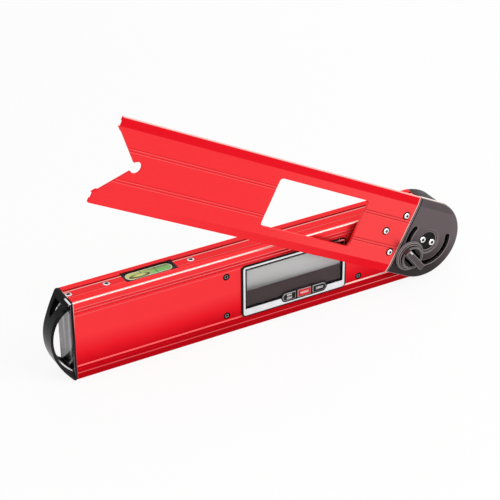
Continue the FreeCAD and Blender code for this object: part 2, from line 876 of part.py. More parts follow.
def make_hinge_end():
    """The rounded end of the rail, with the bearing and the encoder chamber."""
    body = new_body("hinge_end")
    centre = PIVOT_X - s.hinge_end_offset
    back_off = RAIL_RIGHT - centre
    rise = root(HALF_HEIGHT * HALF_HEIGHT - back_off * back_off)
    extrude(body, "round_end", "XZ", BACK, s.rail_depth, [[
        (RAIL_RIGHT, PIVOT_Z - rise, HALF_HEIGHT),
        (centre + HALF_HEIGHT, PIVOT_Z, HALF_HEIGHT),
        (RAIL_RIGHT, PIVOT_Z + rise),
    ]])
    right = RAIL_RIGHT.number

    def outer_rim(edge, middle):
        on_face = abs(abs(middle.y) - BACK.number) < 0.001
        return on_face and middle.x > right + 0.001

    fillet(body, "round_edges", outer_rim, s.hinge_end_round)
    extrude(body, "spigot", "YZ", RAIL_RIGHT - s.spigot_length, s.spigot_length, [
        rectangle(INSIDE_FRONT + s.fit_gap, s.edge_wall + s.fit_gap,
                  INSIDE_BACK - s.fit_gap, INSIDE_TOP - s.fit_gap)])
    boss_start = INSIDE_FRONT + s.fit_gap
    extrude(body, "bearing_boss", "XZ", boss_start, boss_start - BOSS_FRONT,
            [Circle(PIVOT_X, PIVOT_Z, s.boss_radius)])
    cut(body, "bush_bore", "XZ", BACK, BACK - BOSS_FRONT + 1,
        [Circle(PIVOT_X, PIVOT_Z, BUSH_RADIUS)])
    cut(body, "rear_cover_seat", "XZ", BACK, s.side_wall,
        [Circle(PIVOT_X, PIVOT_Z, s.rear_cover_radius + s.fit_gap)])
    cut(body, "encoder_chamber", "XZ", BACK, BACK - ENCODER_FRONT,
        [Circle(PIVOT_X, PIVOT_Z, s.encoder_board_radius + s.fit_gap)])
    cut(body, "rotor_chamber", "XZ", ENCODER_FRONT, ENCODER_FRONT - BEARING_BACK,
        [Circle(PIVOT_X, PIVOT_Z, s.encoder_board_radius - s.encoder_ledge)])
    cut(body, "bolt_pocket", "XZ", BACK, BACK - BOLT_SEAT,
        [Circle(CLAMP_X, CLAMP_Z, hex_corner(s.bolt_head_across) + s.fit_gap * 2)])
    cut(body, "bolt_hole", "XZ", BOLT_SEAT, s.bolt_seat + 1,
        [Circle(CLAMP_X, CLAMP_Z, s.bolt_radius + s.fit_gap)])
    cut(body, "rear_screw_holes", "XZ", INSIDE_BACK, s.top_screw_length,
        [Circle(x, z, s.screw_radius) for x, z in rear_screw_places()])
    cut(body, "hinge_screw_holes", "XZ", INSIDE_BACK, s.top_screw_length,
        [Circle(x, z, s.screw_radius) for x, z in hinge_screw_places()])
    ribbon_half = s.ribbon_width / 2 + s.fit_gap * 4
    cut(body, "ribbon_channel", "XZ", INSIDE_BACK, INSIDE_BACK - ENCODER_FRONT, [rectangle(
        RAIL_RIGHT - s.spigot_length - 1, s.ribbon_height - ribbon_half,
        PIVOT_X - s.hub_radius - s.ribbon_lap, s.ribbon_height + ribbon_half)])
    return body


def make_pivot_bush():
    body = new_body("pivot_bush")
    inner = s.hub_radius + s.running_gap
    turn(body, "sleeve", "Y", PIVOT_X, PIVOT_Z, [
        (inner, BOSS_FRONT),
        (BUSH_RADIUS, BOSS_FRONT),
        (BUSH_RADIUS, BEARING_BACK),
        (inner, BEARING_BACK),
    ])
    return body


def make_friction_washer():
    body = new_body("friction_washer")
    inner = s.hub_radius + s.fit_gap
    front = PLATE_BACK + s.slip_gap
    turn(body, "ring", "Y", PIVOT_X, PIVOT_Z, [
        (inner, front),
        (s.boss_radius, front),
        (s.boss_radius, BOSS_FRONT),
        (inner, BOSS_FRONT),
    ])
    return body


def make_rear_cover():
    body = new_body("rear_cover")
    holes = [Circle(x, z, s.screw_radius + s.fit_gap) for x, z in rear_screw_places()]
    extrude(body, "disc", "XZ", BACK, s.side_wall,
            [Circle(PIVOT_X, PIVOT_Z, s.rear_cover_radius), *holes])
    cut(body, "screw_seats", "XZ", BACK, s.screw_seat_depth,
        [Circle(x, z, s.screw_head_radius + s.fit_gap) for x, z in rear_screw_places()])
    outer = s.encoder_board_radius - s.fit_gap
    extrude(body, "board_rim", "XZ", INSIDE_BACK, INSIDE_BACK - ENCODER_BACK, [
        Circle(PIVOT_X, PIVOT_Z, outer), Circle(PIVOT_X, PIVOT_Z, outer - s.encoder_ledge)])
    cut(body, "ribbon_gap", "XZ", INSIDE_BACK, INSIDE_BACK - ENCODER_BACK + 1, [rectangle(
        PIVOT_X - s.rear_cover_radius, s.ribbon_height - s.ribbon_width / 2 - 1,
        PIVOT_X - s.rotor_radius / 2, s.ribbon_height + s.ribbon_width / 2 + 1)])
    return body


def make_rear_cover_screws():
    body = new_body("rear_cover_screws")
    for number, place in enumerate(rear_screw_places(), start=1):
        add_screw(body, f"screw_{number}", "Y", place, BACK - s.screw_seat_depth, 1,
                  s.top_screw_length, "XZ")
    return body


def make_encoder_board():
    body = new_body("encoder_board")
    extrude(body, "disc", "XZ", ENCODER_BACK, s.board_thickness, [
        Circle(PIVOT_X, PIVOT_Z, s.encoder_board_radius),
        Circle(PIVOT_X, PIVOT_Z, s.hub_radius + 1),
    ])
    return body


def make_ribbon():
    """The flat cable from the encoder board to the main board."""
    body = new_body("sensor_ribbon")
    thick = s.ribbon_thickness
    outer = ENCODER_BACK + thick
    right = PIVOT_X - s.hub_radius - s.ribbon_lap
    turn_x = RAIL_RIGHT - s.spigot_length - s.ribbon_turn
    board_x = DISPLAY_X + MAIN_BOARD_HALF_LENGTH - s.ribbon_lap
    ramp_x = board_x + s.ribbon_ramp
    board_y = MAIN_BOARD_FRONT + s.board_thickness
    extrude(body, "strip", "XY", s.ribbon_height - s.ribbon_width / 2, s.ribbon_width, [[
        (right, ENCODER_BACK),
        (right, outer),
        (turn_x, outer),
        (ramp_x, board_y + thick),
        (board_x, board_y + thick),
        (board_x, board_y),
        (ramp_x + thick / 2, board_y),
        (turn_x + thick / 2, ENCODER_BACK),
    ]])
    return body


# ---------------------------------------------------------------- clamp


def make_clamp_pad():
    body = new_body("clamp_pad")
    inner = s.bolt_radius + s.fit_gap
    front = PLATE_BACK + s.slip_gap
    turn(body, "ring", "Y", CLAMP_X, CLAMP_Z, [
        (inner, front),
        (PAD_RADIUS, front),
        (PAD_RADIUS, FACE),
        (inner, FACE),
    ])
    return body


def make_clamp_bolt():
    body = new_body("clamp_bolt")
    extrude(body, "head", "XZ", BOLT_SEAT + s.bolt_head_height, s.bolt_head_height,
            [hexagon(CLAMP_X, CLAMP_Z, s.bolt_head_across)])
    tip = KNOB_BASE - s.bolt_reach
    turn(body, "shank", "Y", CLAMP_X, CLAMP_Z, [
        (0, BOLT_SEAT + 1),
        (s.bolt_radius, BOLT_SEAT + 1),
        (s.bolt_radius, tip + s.bolt_bevel),
        (s.bolt_radius - s.bolt_bevel, tip),
        (0, tip),
    ])
    return body


def make_clamp_knob():
    """The hand knob: a stepped round base, dished, with a grip bar across it."""
    body = new_body("clamp_knob", KNOB_PIECES)
    base = KNOB_BASE
    shoulder = base - s.knob_flange_height
    crown = base - s.knob_drum_height
    floor = crown + s.knob_dish_depth
    turn(body, "drum", "Y", 0, 0, [
        (0, base),
        (s.knob_flange_radius, base),
        (s.knob_flange_radius, shoulder + 1),
        (s.knob_flange_radius - 1, shoulder),
        (s.knob_drum_radius + 0.3, shoulder - 0.3),
        (s.knob_drum_radius, crown + 0.4),
        (s.knob_drum_radius - 0.4, crown),
        (s.knob_drum_radius - s.knob_dish_rim + 0.2, crown),
        (s.knob_drum_radius - s.knob_dish_rim, floor),
        (0, floor),
    ])
    bar = extrude(body, "bar", "XZ", floor + 0.5, s.knob_bar_height - s.knob_drum_height
                  + s.knob_dish_depth + 0.5, [rounded(
                      -s.knob_bar_length / 2, -s.knob_bar_width / 2,
                      s.knob_bar_length / 2, s.knob_bar_width / 2, s.knob_bar_corner)])
    bar.TaperAngle = -3
    cut(body, "insert_bore", "XZ", base, s.insert_length + 0.3,
        [Circle(0, 0, s.insert_radius)])
    cut(body, "bolt_room", "XZ", base, s.bolt_reach + 1.2,
        [Circle(0, 0, s.bolt_radius + s.fit_gap)])
    return body


def make_knob_insert():
    body = new_body("knob_insert", KNOB_PIECES)
    inner = s.bolt_radius + s.running_gap
    front, back = KNOB_BASE - s.insert_length, KNOB_BASE - s.slip_gap
    turn(body, "sleeve", "Y", 0, 0, [
        (inner, back),
        (s.insert_radius, back),
        (s.insert_radius, front),
        (inner, front),
    ])
    return body


# ---------------------------------------------------------------- arm


def arm_section():
    """The arm's section across its length: a thin web with ribs behind it."""
    rear = []
    for side in (-1, 1):
        edge = [
            (ARM_FRONT + s.arm_edge_depth, HALF_HEIGHT),
            (ARM_FRONT + s.arm_edge_depth, HALF_HEIGHT - s.arm_edge_width),
            (ARM_FRONT + s.arm_thin_web, HALF_HEIGHT - s.arm_edge_width),
            (ARM_FRONT + s.arm_thin_web, s.arm_rib_inner + s.arm_rib_width),
            (ARM_FRONT + s.arm_rib_depth, s.arm_rib_inner + s.arm_rib_width),
            (ARM_FRONT + s.arm_rib_depth, s.arm_rib_inner),
            (PLATE_FRONT, s.arm_rib_inner),
        ]
        mirrored = [(y, z * side) for y, z in edge]
        rear += mirrored if side < 0 else mirrored[::-1]
    front = [(ARM_FRONT + s.bevel_depth, HALF_HEIGHT), (ARM_FRONT, HALF_HEIGHT - s.bevel_width)]
    for height in (s.arm_groove_b, s.arm_groove_a, -s.arm_groove_a, -s.arm_groove_b):
        front.append((ARM_FRONT, height + s.arm_groove_half))
        front.append((ARM_FRONT + s.arm_groove_depth, height))
        front.append((ARM_FRONT, height - s.arm_groove_half))
    front.append((ARM_FRONT, s.bevel_width - HALF_HEIGHT))
    front.append((ARM_FRONT + s.bevel_depth, -HALF_HEIGHT))
    return rear + front


def rivet_places():
    return [
        (-s.rivet_near, s.rivet_spread),
        (-s.rivet_near, -s.rivet_spread),
        (-s.rivet_far, as_size(0)),
    ]


def make_arm_blade():
    body = new_body("arm_blade", ARM_PIECES)
    extrude(body, "profile", "YZ", -s.arm_tip, s.arm_tip - s.arm_start, [arm_section()])
    rear = ARM_FRONT + s.arm_rib_depth + 1
    through = s.arm_rib_depth + 2
    over = s.notch_depth + 2
    vertex = s.notch_depth - s.arm_tip
    cut(body, "notch", "XZ", rear, through, [[
        (-s.arm_tip - 2, -over), (vertex, as_size(0)), (-s.arm_tip - 2, over)]])
    cut(body, "notch_relief", "XZ", rear, through, [Circle(vertex, 0, s.notch_relief)])
    cut(body, "window", "XZ", rear, through, [rounded(
        -s.window_start - s.window_length, -s.window_half_height,
        -s.window_start, s.window_half_height, s.window_corner)])
    cut(body, "rivet_holes", "XZ", rear, through,
        [Circle(x, z, s.rivet_radius) for x, z in rivet_places()])
    return body


def stake_places():
    return [polar(s.stake_ring_radius, angle) for angle in (45, 135, 225, 315)]


def plate_outline():
    corner = -root(s.plate_radius * s.plate_radius - s.plate_half_width * s.plate_half_width)
    radius = s.plate_radius
    return [
        (-s.plate_reach, -s.plate_half_width),
        (corner, -s.plate_half_width, radius),
        (as_size(0), -radius, radius),
        (radius, as_size(0), radius),
        (as_size(0), radius, radius),
        (corner, s.plate_half_width),
        (-s.plate_reach, s.plate_half_width),
    ]


def make_hinge_plate():
    """The steel plate that joins the blade to the hub and is clamped by the knob."""
    body = new_body("hinge_plate", ARM_PIECES)
    screws = [Circle(s.pivot_screw_offset * side, 0, s.screw_radius + s.fit_gap)
              for side in (-1, 1)]
    rivets = [Circle(x, z, s.rivet_radius) for x, z in rivet_places()]
    stakes = [Circle(x, z, s.stake_radius) for x, z in stake_places()]
    extrude(body, "sheet", "XZ", PLATE_BACK, s.plate_thickness,
            [plate_outline(), *screws, *rivets, *stakes])
    cut(body, "clamp_slot", "XZ", PLATE_BACK, s.plate_thickness, [
        arc_slot(s.clamp_radius, s.slot_half_width + s.fit_gap, SLOT_START, SLOT_END)])
    return body


def make_rivets():
    body = new_body("arm_rivets", ARM_PIECES)
    head = ARM_FRONT - s.rivet_head_height
    tail = PLATE_BACK + s.rivet_tail_height
    for number, (x, z) in enumerate(rivet_places(), start=1):
        turn(body, f"rivet_{number}", "Y", x, z, [
            (0, tail),
            (s.rivet_tail_radius, tail),
            (s.rivet_tail_radius, PLATE_BACK),
            (s.rivet_radius, PLATE_BACK),
            (s.rivet_radius, ARM_FRONT),
            (s.rivet_head_radius, ARM_FRONT),
            (s.rivet_head_radius, ARM_FRONT - 0.3),
            (s.rivet_head_radius - 0.8, head + 0.1),
            (s.rivet_radius - 0.5, head),
            (s.rivet_radius - 0.5, head + 0.7),
            (0, head + 0.7),
        ])
    return body


def make_hinge_cover():
    """The moulded cover over the hinge plate, with the clamp's curved slot."""
    body = new_body("hinge_cover", ARM_PIECES)
    left = s.cover_gap - s.arm_start
    centre = -s.cover_offset
    depth = COVER_BACK - ARM_FRONT
    extrude(body, "shell", "XZ", COVER_BACK, depth, [[
        (left, -HALF_HEIGHT),
        (centre, -HALF_HEIGHT, HALF_HEIGHT),
        (centre + HALF_HEIGHT, as_size(0), HALF_HEIGHT),
        (centre, HALF_HEIGHT),
        (left, HALF_HEIGHT),
    ]])

    def outer_front(edge, middle):
        return abs(middle.y - ARM_FRONT.number) < 0.001 and middle.x > left.number + 0.001

    chamfer(body, "bevel", outer_front, s.bevel_depth, s.bevel_width)
    wall = s.cover_wall
    inner = HALF_HEIGHT - wall
    cut(body, "hollow", "XZ", COVER_BACK, COVER_BACK - COVER_FLOOR, [[
        (left + wall, -inner),
        (centre, -inner, inner),
        (centre + inner, as_size(0), inner),
        (centre, inner),
        (left + wall, inner),
    ]])
    channel = s.plate_half_width + s.fit_gap * 2
    cut(body, "plate_channel", "XZ", COVER_BACK, COVER_BACK - COVER_FLOOR,
        [rectangle(left - 1, -channel, left + wall + 1, channel)])
    stake_end = PLATE_BACK + 0.3
    extrude(body, "stakes", "XZ", stake_end, stake_end - COVER_FLOOR,
            [Circle(x, z, s.stake_radius) for x, z in stake_places()])
    cut(body, "dish", "XZ", ARM_FRONT + s.dish_depth, s.dish_depth + 1,
        [Circle(0, 0, s.dish_radius)])
    cut(body, "recess", "XZ", COVER_FLOOR, s.arm_web + 1, [Circle(0, 0, s.recess_radius)])
    cut(body, "clamp_slot", "XZ", COVER_FLOOR, s.arm_web + 1, [
        arc_slot(s.clamp_radius, s.slot_half_width, SLOT_START, SLOT_END)])
    return body


def make_pivot_hub():
    """The shaft that turns with the arm inside the bush and carries the rotor."""
    body = new_body("pivot_hub", ARM_PIECES)
    groove = s.hub_radius - s.ring_groove
    end = ENCODER_BACK - s.board_thickness / 2
    turn(body, "shaft", "Y", 0, 0, [
        (0, PLATE_BACK),
        (s.hub_radius, PLATE_BACK),
        (s.hub_radius, RING_FRONT),
        (groove, RING_FRONT),
        (groove, RING_BACK),
        (s.hub_radius, RING_BACK),
        (s.hub_radius, ROTOR_FRONT),
        (s.hub_step_radius, ROTOR_FRONT),
        (s.hub_step_radius, end),
        (0, end),
    ])
    cut(body, "screw_holes", "XZ", PLATE_BACK + s.pivot_screw_length,
        s.pivot_screw_length + 1,
        [Circle(s.pivot_screw_offset * side, 0, s.screw_radius) for side in (-1, 1)])
    return body


def make_pivot_retainer():
    body = new_body("pivot_retainer", ARM_PIECES)
    screws = [Circle(s.pivot_screw_offset * side, 0, s.screw_radius + s.fit_gap)
              for side in (-1, 1)]
    extrude(body, "disc", "XZ", PLATE_FRONT, s.retainer_thickness,
            [Circle(0, 0, s.recess_radius - s.fit_gap * 2), *screws])
    return body


def make_pivot_screws():
    """Two socket-head screws that hold the hinge plate to the hub."""
    body = new_body("pivot_screws", ARM_PIECES)
    seat = PLATE_FRONT - s.retainer_thickness
    face = seat - s.pivot_screw_height
    tip = PLATE_BACK + s.pivot_screw_length - 0.5
    for number, side in enumerate((-1, 1), start=1):
        x = s.pivot_screw_offset * side
        turn(body, f"screw_{number}", "Y", x, 0, [
            (0, face),
            (s.pivot_screw_head - 0.5, face),
            (s.pivot_screw_head, face + 0.5),
            (s.pivot_screw_head, seat),
            (s.screw_radius, seat),
            (s.screw_radius, tip),
            (0, tip),
        ])
        depth = s.pivot_socket_depth
        cut(body, f"socket_{number}", "XZ", face + depth, depth * 2,
            [hexagon(x, 0, s.pivot_socket_across)])
    return body


def make_spring_washer():
    body = new_body("spring_washer", ARM_PIECES)
    inner = s.hub_radius + s.running_gap
    outer = s.boss_radius - 2
    back = RING_FRONT
    front = BEARING_BACK + s.slip_gap
    turn(body, "cone", "Y", 0, 0, [
        (inner, back - s.spring_sheet),
        (outer, front),
        (outer, front + s.spring_sheet),
        (inner, back),
    ])
    return body


def make_retaining_ring():
    body = new_body("retaining_ring", ARM_PIECES)
    inner = s.hub_radius - s.ring_groove + s.running_gap
    outer = s.hub_radius - s.ring_groove + s.ring_width
    start = RING_FRONT + s.running_gap
    angles = (30, 130, 230, 330)
    outside = [(*polar(outer, angle), outer) for angle in angles[:-1]]
    inside = [(*polar(inner, angle), -inner) for angle in reversed(angles[1:])]
    extrude(body, "ring", "XZ", start + s.ring_thickness, s.ring_thickness,
            [outside + [polar(outer, 330)] + inside + [polar(inner, 30)]])
    return body


def make_encoder_rotor():
    body = new_body("encoder_rotor", ARM_PIECES)
    extrude(body, "disc", "XZ", ROTOR_BACK, s.rotor_thickness, [
        Circle(0, 0, s.rotor_radius), Circle(0, 0, s.hub_step_radius)])
    return body


# ---------------------------------------------------------------- display


def shifted(box):
    """A box about the display's middle, moved to its place on the rail."""
    x0, z0, x1, z1 = box
    return DISPLAY_X + x0, DISPLAY_Z + z0, DISPLAY_X + x1, DISPLAY_Z + z1


def button_outline(position, grow):
    """One key: position -1 and 1 have a round outer end, 0 is a plain oblong."""
    x = BUTTON_X + s.button_pitch * position
    half, tall = s.button_half_length + grow, s.button_half_height + grow
    low, high = BUTTON_Z - tall, BUTTON_Z + tall
    if position == 0:
        return rectangle(x - half, low, x + half, high)
    if position < 0:
        bend = x - half + tall
        return [(bend, low), (x + half, low), (x + half, high), (bend, high, tall),
                (x - half, BUTTON_Z, tall)]
    bend = x + half - tall
    return [(x - half, low), (bend, low, tall), (x + half, BUTTON_Z, tall), (bend, high),
            (x - half, high)]


def island(grow):
    """The raised field round the three keys."""
    half = s.button_pitch + s.button_half_length + s.island_rim + grow
    return stadium(BUTTON_X, BUTTON_Z, half, s.button_half_height + s.island_rim + grow)


def skirt_opening():
    x0, z0, x1, z1 = APERTURE
    ledge = s.lens_ledge
    return x0 + ledge, z0 + ledge, x1 - ledge, z1 - ledge


def make_bezel():
    body = new_body("display_bezel")
    half_x, half_z = s.bezel_length / 2, s.bezel_height / 2
    extrude(body, "flange", "XZ", BEZEL_BACK, BEZEL_BACK - BEZEL_FRONT, [
        rounded(*shifted((-half_x, -half_z, half_x, half_z)), s.bezel_corner)])
    skirt_x = half_x - s.bezel_lip - s.fit_gap
    skirt_z = half_z - s.bezel_lip - s.fit_gap
    extrude(body, "skirt", "XZ", SKIRT_BACK, SKIRT_BACK - BEZEL_BACK, [
        rectangle(*shifted((-skirt_x, -skirt_z, skirt_x, skirt_z)))])
    cut(body, "opening", "XZ", SKIRT_BACK, SKIRT_BACK - BEZEL_FRONT + 1,
        [rectangle(*shifted(skirt_opening()))])
    cut(body, "lens_seat", "XZ", LENS_BACK, LENS_BACK - BEZEL_FRONT + 1,
        [rectangle(*shifted(APERTURE))])
    half_x, half_z = TRIM_HALF_LENGTH + s.slip_gap, TRIM_HALF_HEIGHT + s.slip_gap
    x0, z0, x1, z1 = TRIM_OPENING
    gap = s.slip_gap
    cut(body, "trim_seat", "XZ", TRIM_BACK, TRIM_BACK - BEZEL_FRONT + 1, [
        rounded(*shifted((-half_x, -half_z, half_x, half_z)), s.bezel_corner - s.trim_edge),
        rectangle(*shifted((x0 + gap, z0 + gap, x1 - gap, z1 - gap))),
    ])
    extrude(body, "key_field", "XZ", BEZEL_BACK, BEZEL_BACK - TRIM_FRONT, [island(0)])
    cut(body, "key_wells", "XZ", SKIRT_BACK, SKIRT_BACK - TRIM_FRONT + 1,
        [button_outline(position, s.button_gap) for position in (-1, 0, 1)])
    return body


def make_trim():
    body = new_body("display_trim")
    half_x, half_z = TRIM_HALF_LENGTH, TRIM_HALF_HEIGHT
    extrude(body, "ring", "XZ", TRIM_BACK, s.trim_thickness, [
        rounded(*shifted((-half_x, -half_z, half_x, half_z)), s.bezel_corner - s.trim_edge),
        rectangle(*shifted(TRIM_OPENING)),
    ])
    cut(body, "key_gap", "XZ", TRIM_BACK, s.trim_thickness, [island(s.slip_gap * 2)])
    return body


def make_lens():
    body = new_body("display_window")
    x0, z0, x1, z1 = APERTURE
    gap = s.slip_gap
    extrude(body, "pane", "XZ", LENS_BACK, s.lens_thickness, [
        rectangle(*shifted((x0 + gap, z0 + gap, x1 - gap, z1 - gap)))])
    cut(body, "key_gap", "XZ", LENS_BACK, s.lens_thickness, [island(s.slip_gap * 2)])
    return body


def lcd_box():
    x0, _, x1, z1 = skirt_opening()
    return x0 + s.fit_gap, APERTURE[1] + s.lcd_rise, x1 - s.fit_gap, z1 - s.fit_gap


def make_lcd():
    body = new_body("lcd_panel")
    extrude(body, "glass", "XZ", LCD_FRONT + s.lcd_thickness, s.lcd_thickness,
            [rectangle(*shifted(lcd_box()))])
    return body


def make_zebra_strips():
    """The two rubber contact strips between the LCD and the main board."""
    body = new_body("contact_strips")
    x0, z0, x1, z1 = lcd_box()
    wide = s.strip_width
    length = MAIN_BOARD_FRONT - (LCD_FRONT + s.lcd_thickness)
    extrude(body, "strips", "XZ", MAIN_BOARD_FRONT, length, [
        rectangle(*shifted((x0 + 2, z0 + 0.5, x1 - 2, z0 + 0.5 + wide))),
        rectangle(*shifted((x0 + 2, z1 - 0.5 - wide, x1 - 2, z1 - 0.5))),
    ])
    return body


def make_chassis():
    """The inner frame that the front screws pull against the rail's wall."""
    body = new_body("display_chassis")
    half_x = DISPLAY_SCREW_X + s.chassis_edge_x
    half_z = DISPLAY_SCREW_Z + s.chassis_edge_z
    skirt_x = s.bezel_length / 2 - s.bezel_lip
    skirt_z = s.bezel_height / 2 - s.bezel_lip
    extrude(body, "plate", "XZ", INSIDE_FRONT + s.chassis_thickness, s.chassis_thickness, [
        rectangle(*shifted((-half_x, -half_z, half_x, half_z))),
        rectangle(*shifted((-skirt_x, -skirt_z, skirt_x, skirt_z))),
    ])
    extrude(body, "bosses", "XZ", MAIN_BOARD_FRONT, MAIN_BOARD_FRONT - INSIDE_FRONT,
            [Circle(x, z, s.screw_radius + s.chassis_boss_wall) for x, z in display_screw_places()])
    cut(body, "screw_holes", "XZ", MAIN_BOARD_FRONT, MAIN_BOARD_FRONT - INSIDE_FRONT + 1,
        [Circle(x, z, s.screw_radius) for x, z in display_screw_places()])
    return body


def make_main_board():
    body = new_body("main_board")
    half_x, half_z = MAIN_BOARD_HALF_LENGTH, MAIN_BOARD_HALF_HEIGHT
    holes = [Circle(x, z, s.screw_radius + s.fit_gap) for x, z in display_screw_places()]
    extrude(body, "board", "XZ", MAIN_BOARD_FRONT + s.board_thickness, s.board_thickness, [
        rectangle(*shifted((-half_x, -half_z, half_x, half_z))), *holes])
    return body


def make_button(name, position):
    body = new_body(name)
    extrude(body, "cap", "XZ", BUTTON_FRONT + s.button_cap_depth, s.button_cap_depth,
            [button_outline(position, 0)])
    x = BUTTON_X + s.button_pitch * position
    stem_end = MAIN_BOARD_FRONT - s.dome_height - s.button_travel - s.slip_gap * 2
    stem_start = BUTTON_FRONT + s.button_cap_depth
    extrude(body, "stem", "XZ", stem_end, stem_end - stem_start,
            [Circle(x, BUTTON_Z, s.stem_radius)])
    return body


def make_domes():
    """Three rubber domes on the main board that push the keys back out."""
    body = new_body("key_domes")
    for number, position in enumerate((-1, 0, 1), start=1):
        crown = MAIN_BOARD_FRONT - s.dome_height
        turn(body, f"dome_{number}", "Y", BUTTON_X + s.button_pitch * position, BUTTON_Z, [
            (0, MAIN_BOARD_FRONT),
            (s.dome_radius, MAIN_BOARD_FRONT),
            (s.dome_radius, MAIN_BOARD_FRONT - s.dome_lip),
            (s.stem_radius, crown),
            (0, crown),
        ])
    return body


# ---------------------------------------------------------------- vial


def make_vial_holder():
    body = new_body("vial_holder")
    gap = s.fit_gap
    bottom = CHANNEL_TOP - s.vial_holder_depth
    half_x, half_y = s.vial_window_length / 2 - gap, s.vial_window_width / 2 - gap
    extrude(body, "block", "XY", bottom, s.vial_holder_depth - gap, [
        rectangle(VIAL_X - half_x, SPINE_Y - half_y, VIAL_X + half_x, SPINE_Y + half_y)])
    wide, reach = s.vial_flange_half_width, s.vial_flange_half_length
    extrude(body, "flange", "XY", INSIDE_TOP - s.vial_flange_thickness,
            s.vial_flange_thickness,
            [rectangle(VIAL_X - reach, SPINE_Y - wide, VIAL_X + reach, SPINE_Y + wide)])
    cut(body, "vial_seat", "XY", VIAL_BOTTOM, s.vial_holder_depth, [stadium(
        VIAL_X, SPINE_Y, s.vial_half_length + gap, s.vial_half_width + gap)])
    cut(body, "screw_holes", "XY", INSIDE_TOP - s.vial_flange_thickness - 1,
        s.vial_flange_thickness + 2,
        [Circle(x, SPINE_Y, s.screw_radius) for x in top_screw_places()[1:]])
    return body


def barrel_profile(shrink):
    radius, half = s.barrel_radius - shrink, s.barrel_half_length - shrink
    return [
        (0, VIAL_X - half),
        (radius * 0.75, VIAL_X - half + radius * 0.15),
        (radius, VIAL_X - half + radius * 0.6),
        (radius, VIAL_X + half - radius * 0.6),
        (radius * 0.75, VIAL_X + half - radius * 0.15),
        (0, VIAL_X + half),
    ]


def make_vial_tube():
    """The clear block of the vial, with its closed barrel."""
    body = new_body("vial_tube")
    extrude(body, "block", "XY", VIAL_BOTTOM, VIAL_TOP - VIAL_BOTTOM, [stadium(
        VIAL_X, SPINE_Y, s.vial_half_length, s.vial_half_width)])
    turn(body, "barrel", "X", SPINE_Y, BARREL_Z, barrel_profile(as_size(0)), "PartDesign::Groove")
    return body


def make_vial_fluid():
    """The tinted spirit that fills the barrel, less its bubble."""
    body = new_body("vial_fluid")
    turn(body, "spirit", "X", SPINE_Y, BARREL_Z, barrel_profile(s.slip_gap / 2))
    middle = VIAL_X - s.bubble_shift
    half, radius = s.bubble_half_length, s.bubble_radius
    level = BARREL_Z + s.barrel_radius - radius - s.slip_gap * 4
    turn(body, "bubble", "X", SPINE_Y, level, [
        (0, middle - half),
        (radius * 0.8, middle - half * 0.8),
        (radius, middle - half * 0.4),
        (radius, middle + half * 0.4),
        (radius * 0.8, middle + half * 0.8),
        (0, middle + half),
    ], "PartDesign::Groove")
    return body


# ---------------------------------------------------------------- battery bay


def make_battery_tray():
    body = new_body("battery_tray")
    low, high = s.battery_height - s.tray_half_height, s.battery_height + s.tray_half_height
    left, right = BATTERY_X - s.tray_half_length, BATTERY_X + s.tray_half_length
    extrude(body, "box", "XZ", INSIDE_BACK, s.tray_depth, [rectangle(left, low, right, high)])
    room = s.cell_length / 2 + s.contact_thickness + s.contact_gap * 2
    cell_half = s.cell_pitch / 2 + s.cell_radius + s.contact_gap
    cut(body, "cell_room", "XZ", INSIDE_BACK, s.tray_depth - s.tray_wall, [rectangle(
        BATTERY_X - room, s.battery_height - cell_half,
        BATTERY_X + room, s.battery_height + cell_half)])
    cut(body, "screw_hole", "XZ", INSIDE_BACK, s.top_screw_length,
        [Circle(BATTERY_X + s.door_screw_reach, s.battery_height, s.screw_radius)])
    return body


def make_cell(name, side):
    body = new_body(name)
    height = s.battery_height + s.cell_pitch / 2 * side
    radius = s.cell_radius
    left, right = BATTERY_X - s.cell_length / 2, BATTERY_X + s.cell_length / 2
    nub_radius, shoulder = s.cell_nub_radius, right - s.cell_nub_height
    nub = [(0, right), (nub_radius, right), (nub_radius, shoulder), (radius, shoulder)]
    profile = nub + [(radius, left), (0, left)]
    if side < 0:
        profile = [(r, BATTERY_X * 2 - at) for r, at in profile][::-1]
    turn(body, "cell", "X", CELL_Y, height, profile)
    return body


def make_contacts():
    """The sprung contact strips at both ends of the cells."""
    body = new_body("battery_contacts")
    half = s.cell_pitch / 2 + s.cell_radius - 1
    reach = s.cell_length / 2 + s.contact_gap
    for word, start in (("left", BATTERY_X - reach - s.contact_thickness),
                        ("right", BATTERY_X + reach)):
        extrude(body, word, "YZ", start, s.contact_thickness, [rectangle(
            CELL_Y - s.cell_radius + 1, s.battery_height - half,
            CELL_Y + s.cell_radius - 1, s.battery_height + half)])
    return body


def make_battery_door():
    body = new_body("battery_door")
    thick = DOOR_BACK - INSIDE_BACK
    screw = BATTERY_X + s.door_screw_reach
    extrude(body, "plate", "XZ", DOOR_BACK, thick, [
        rounded(BATTERY_X - s.door_half_length, s.battery_height - s.door_half_height,
                BATTERY_X + s.door_half_length, s.battery_height + s.door_half_height,
                as_size(1)),
        Circle(screw, s.battery_height, s.screw_radius + s.fit_gap),
    ])
    cut(body, "screw_seat", "XZ", DOOR_BACK, s.screw_seat_depth,
        [Circle(screw, s.battery_height, s.screw_head_radius - s.fit_gap)])
    return body


def make_door_screw():
    body = new_body("battery_door_screw")
    seat = DOOR_BACK - s.screw_seat_depth
    radius = s.screw_head_radius - s.fit_gap * 2
    x, z = BATTERY_X + s.door_screw_reach, s.battery_height
    tip = seat - s.top_screw_length + 1
    turn(body, "screw", "Y", x, z, [
        (0, seat + s.screw_head_height),
        (radius * 0.7, seat + s.screw_head_height),
        (radius, seat + s.screw_head_height * 0.6),
        (radius, seat),
        (s.screw_radius, seat),
        (s.screw_radius, tip),
        (0, tip),
    ])
    cut(body, "recess", "XZ", seat + s.screw_head_height, s.screw_head_height * 0.7,
        [cross(x, z, s.recess_reach, s.recess_half_width)])
    return body


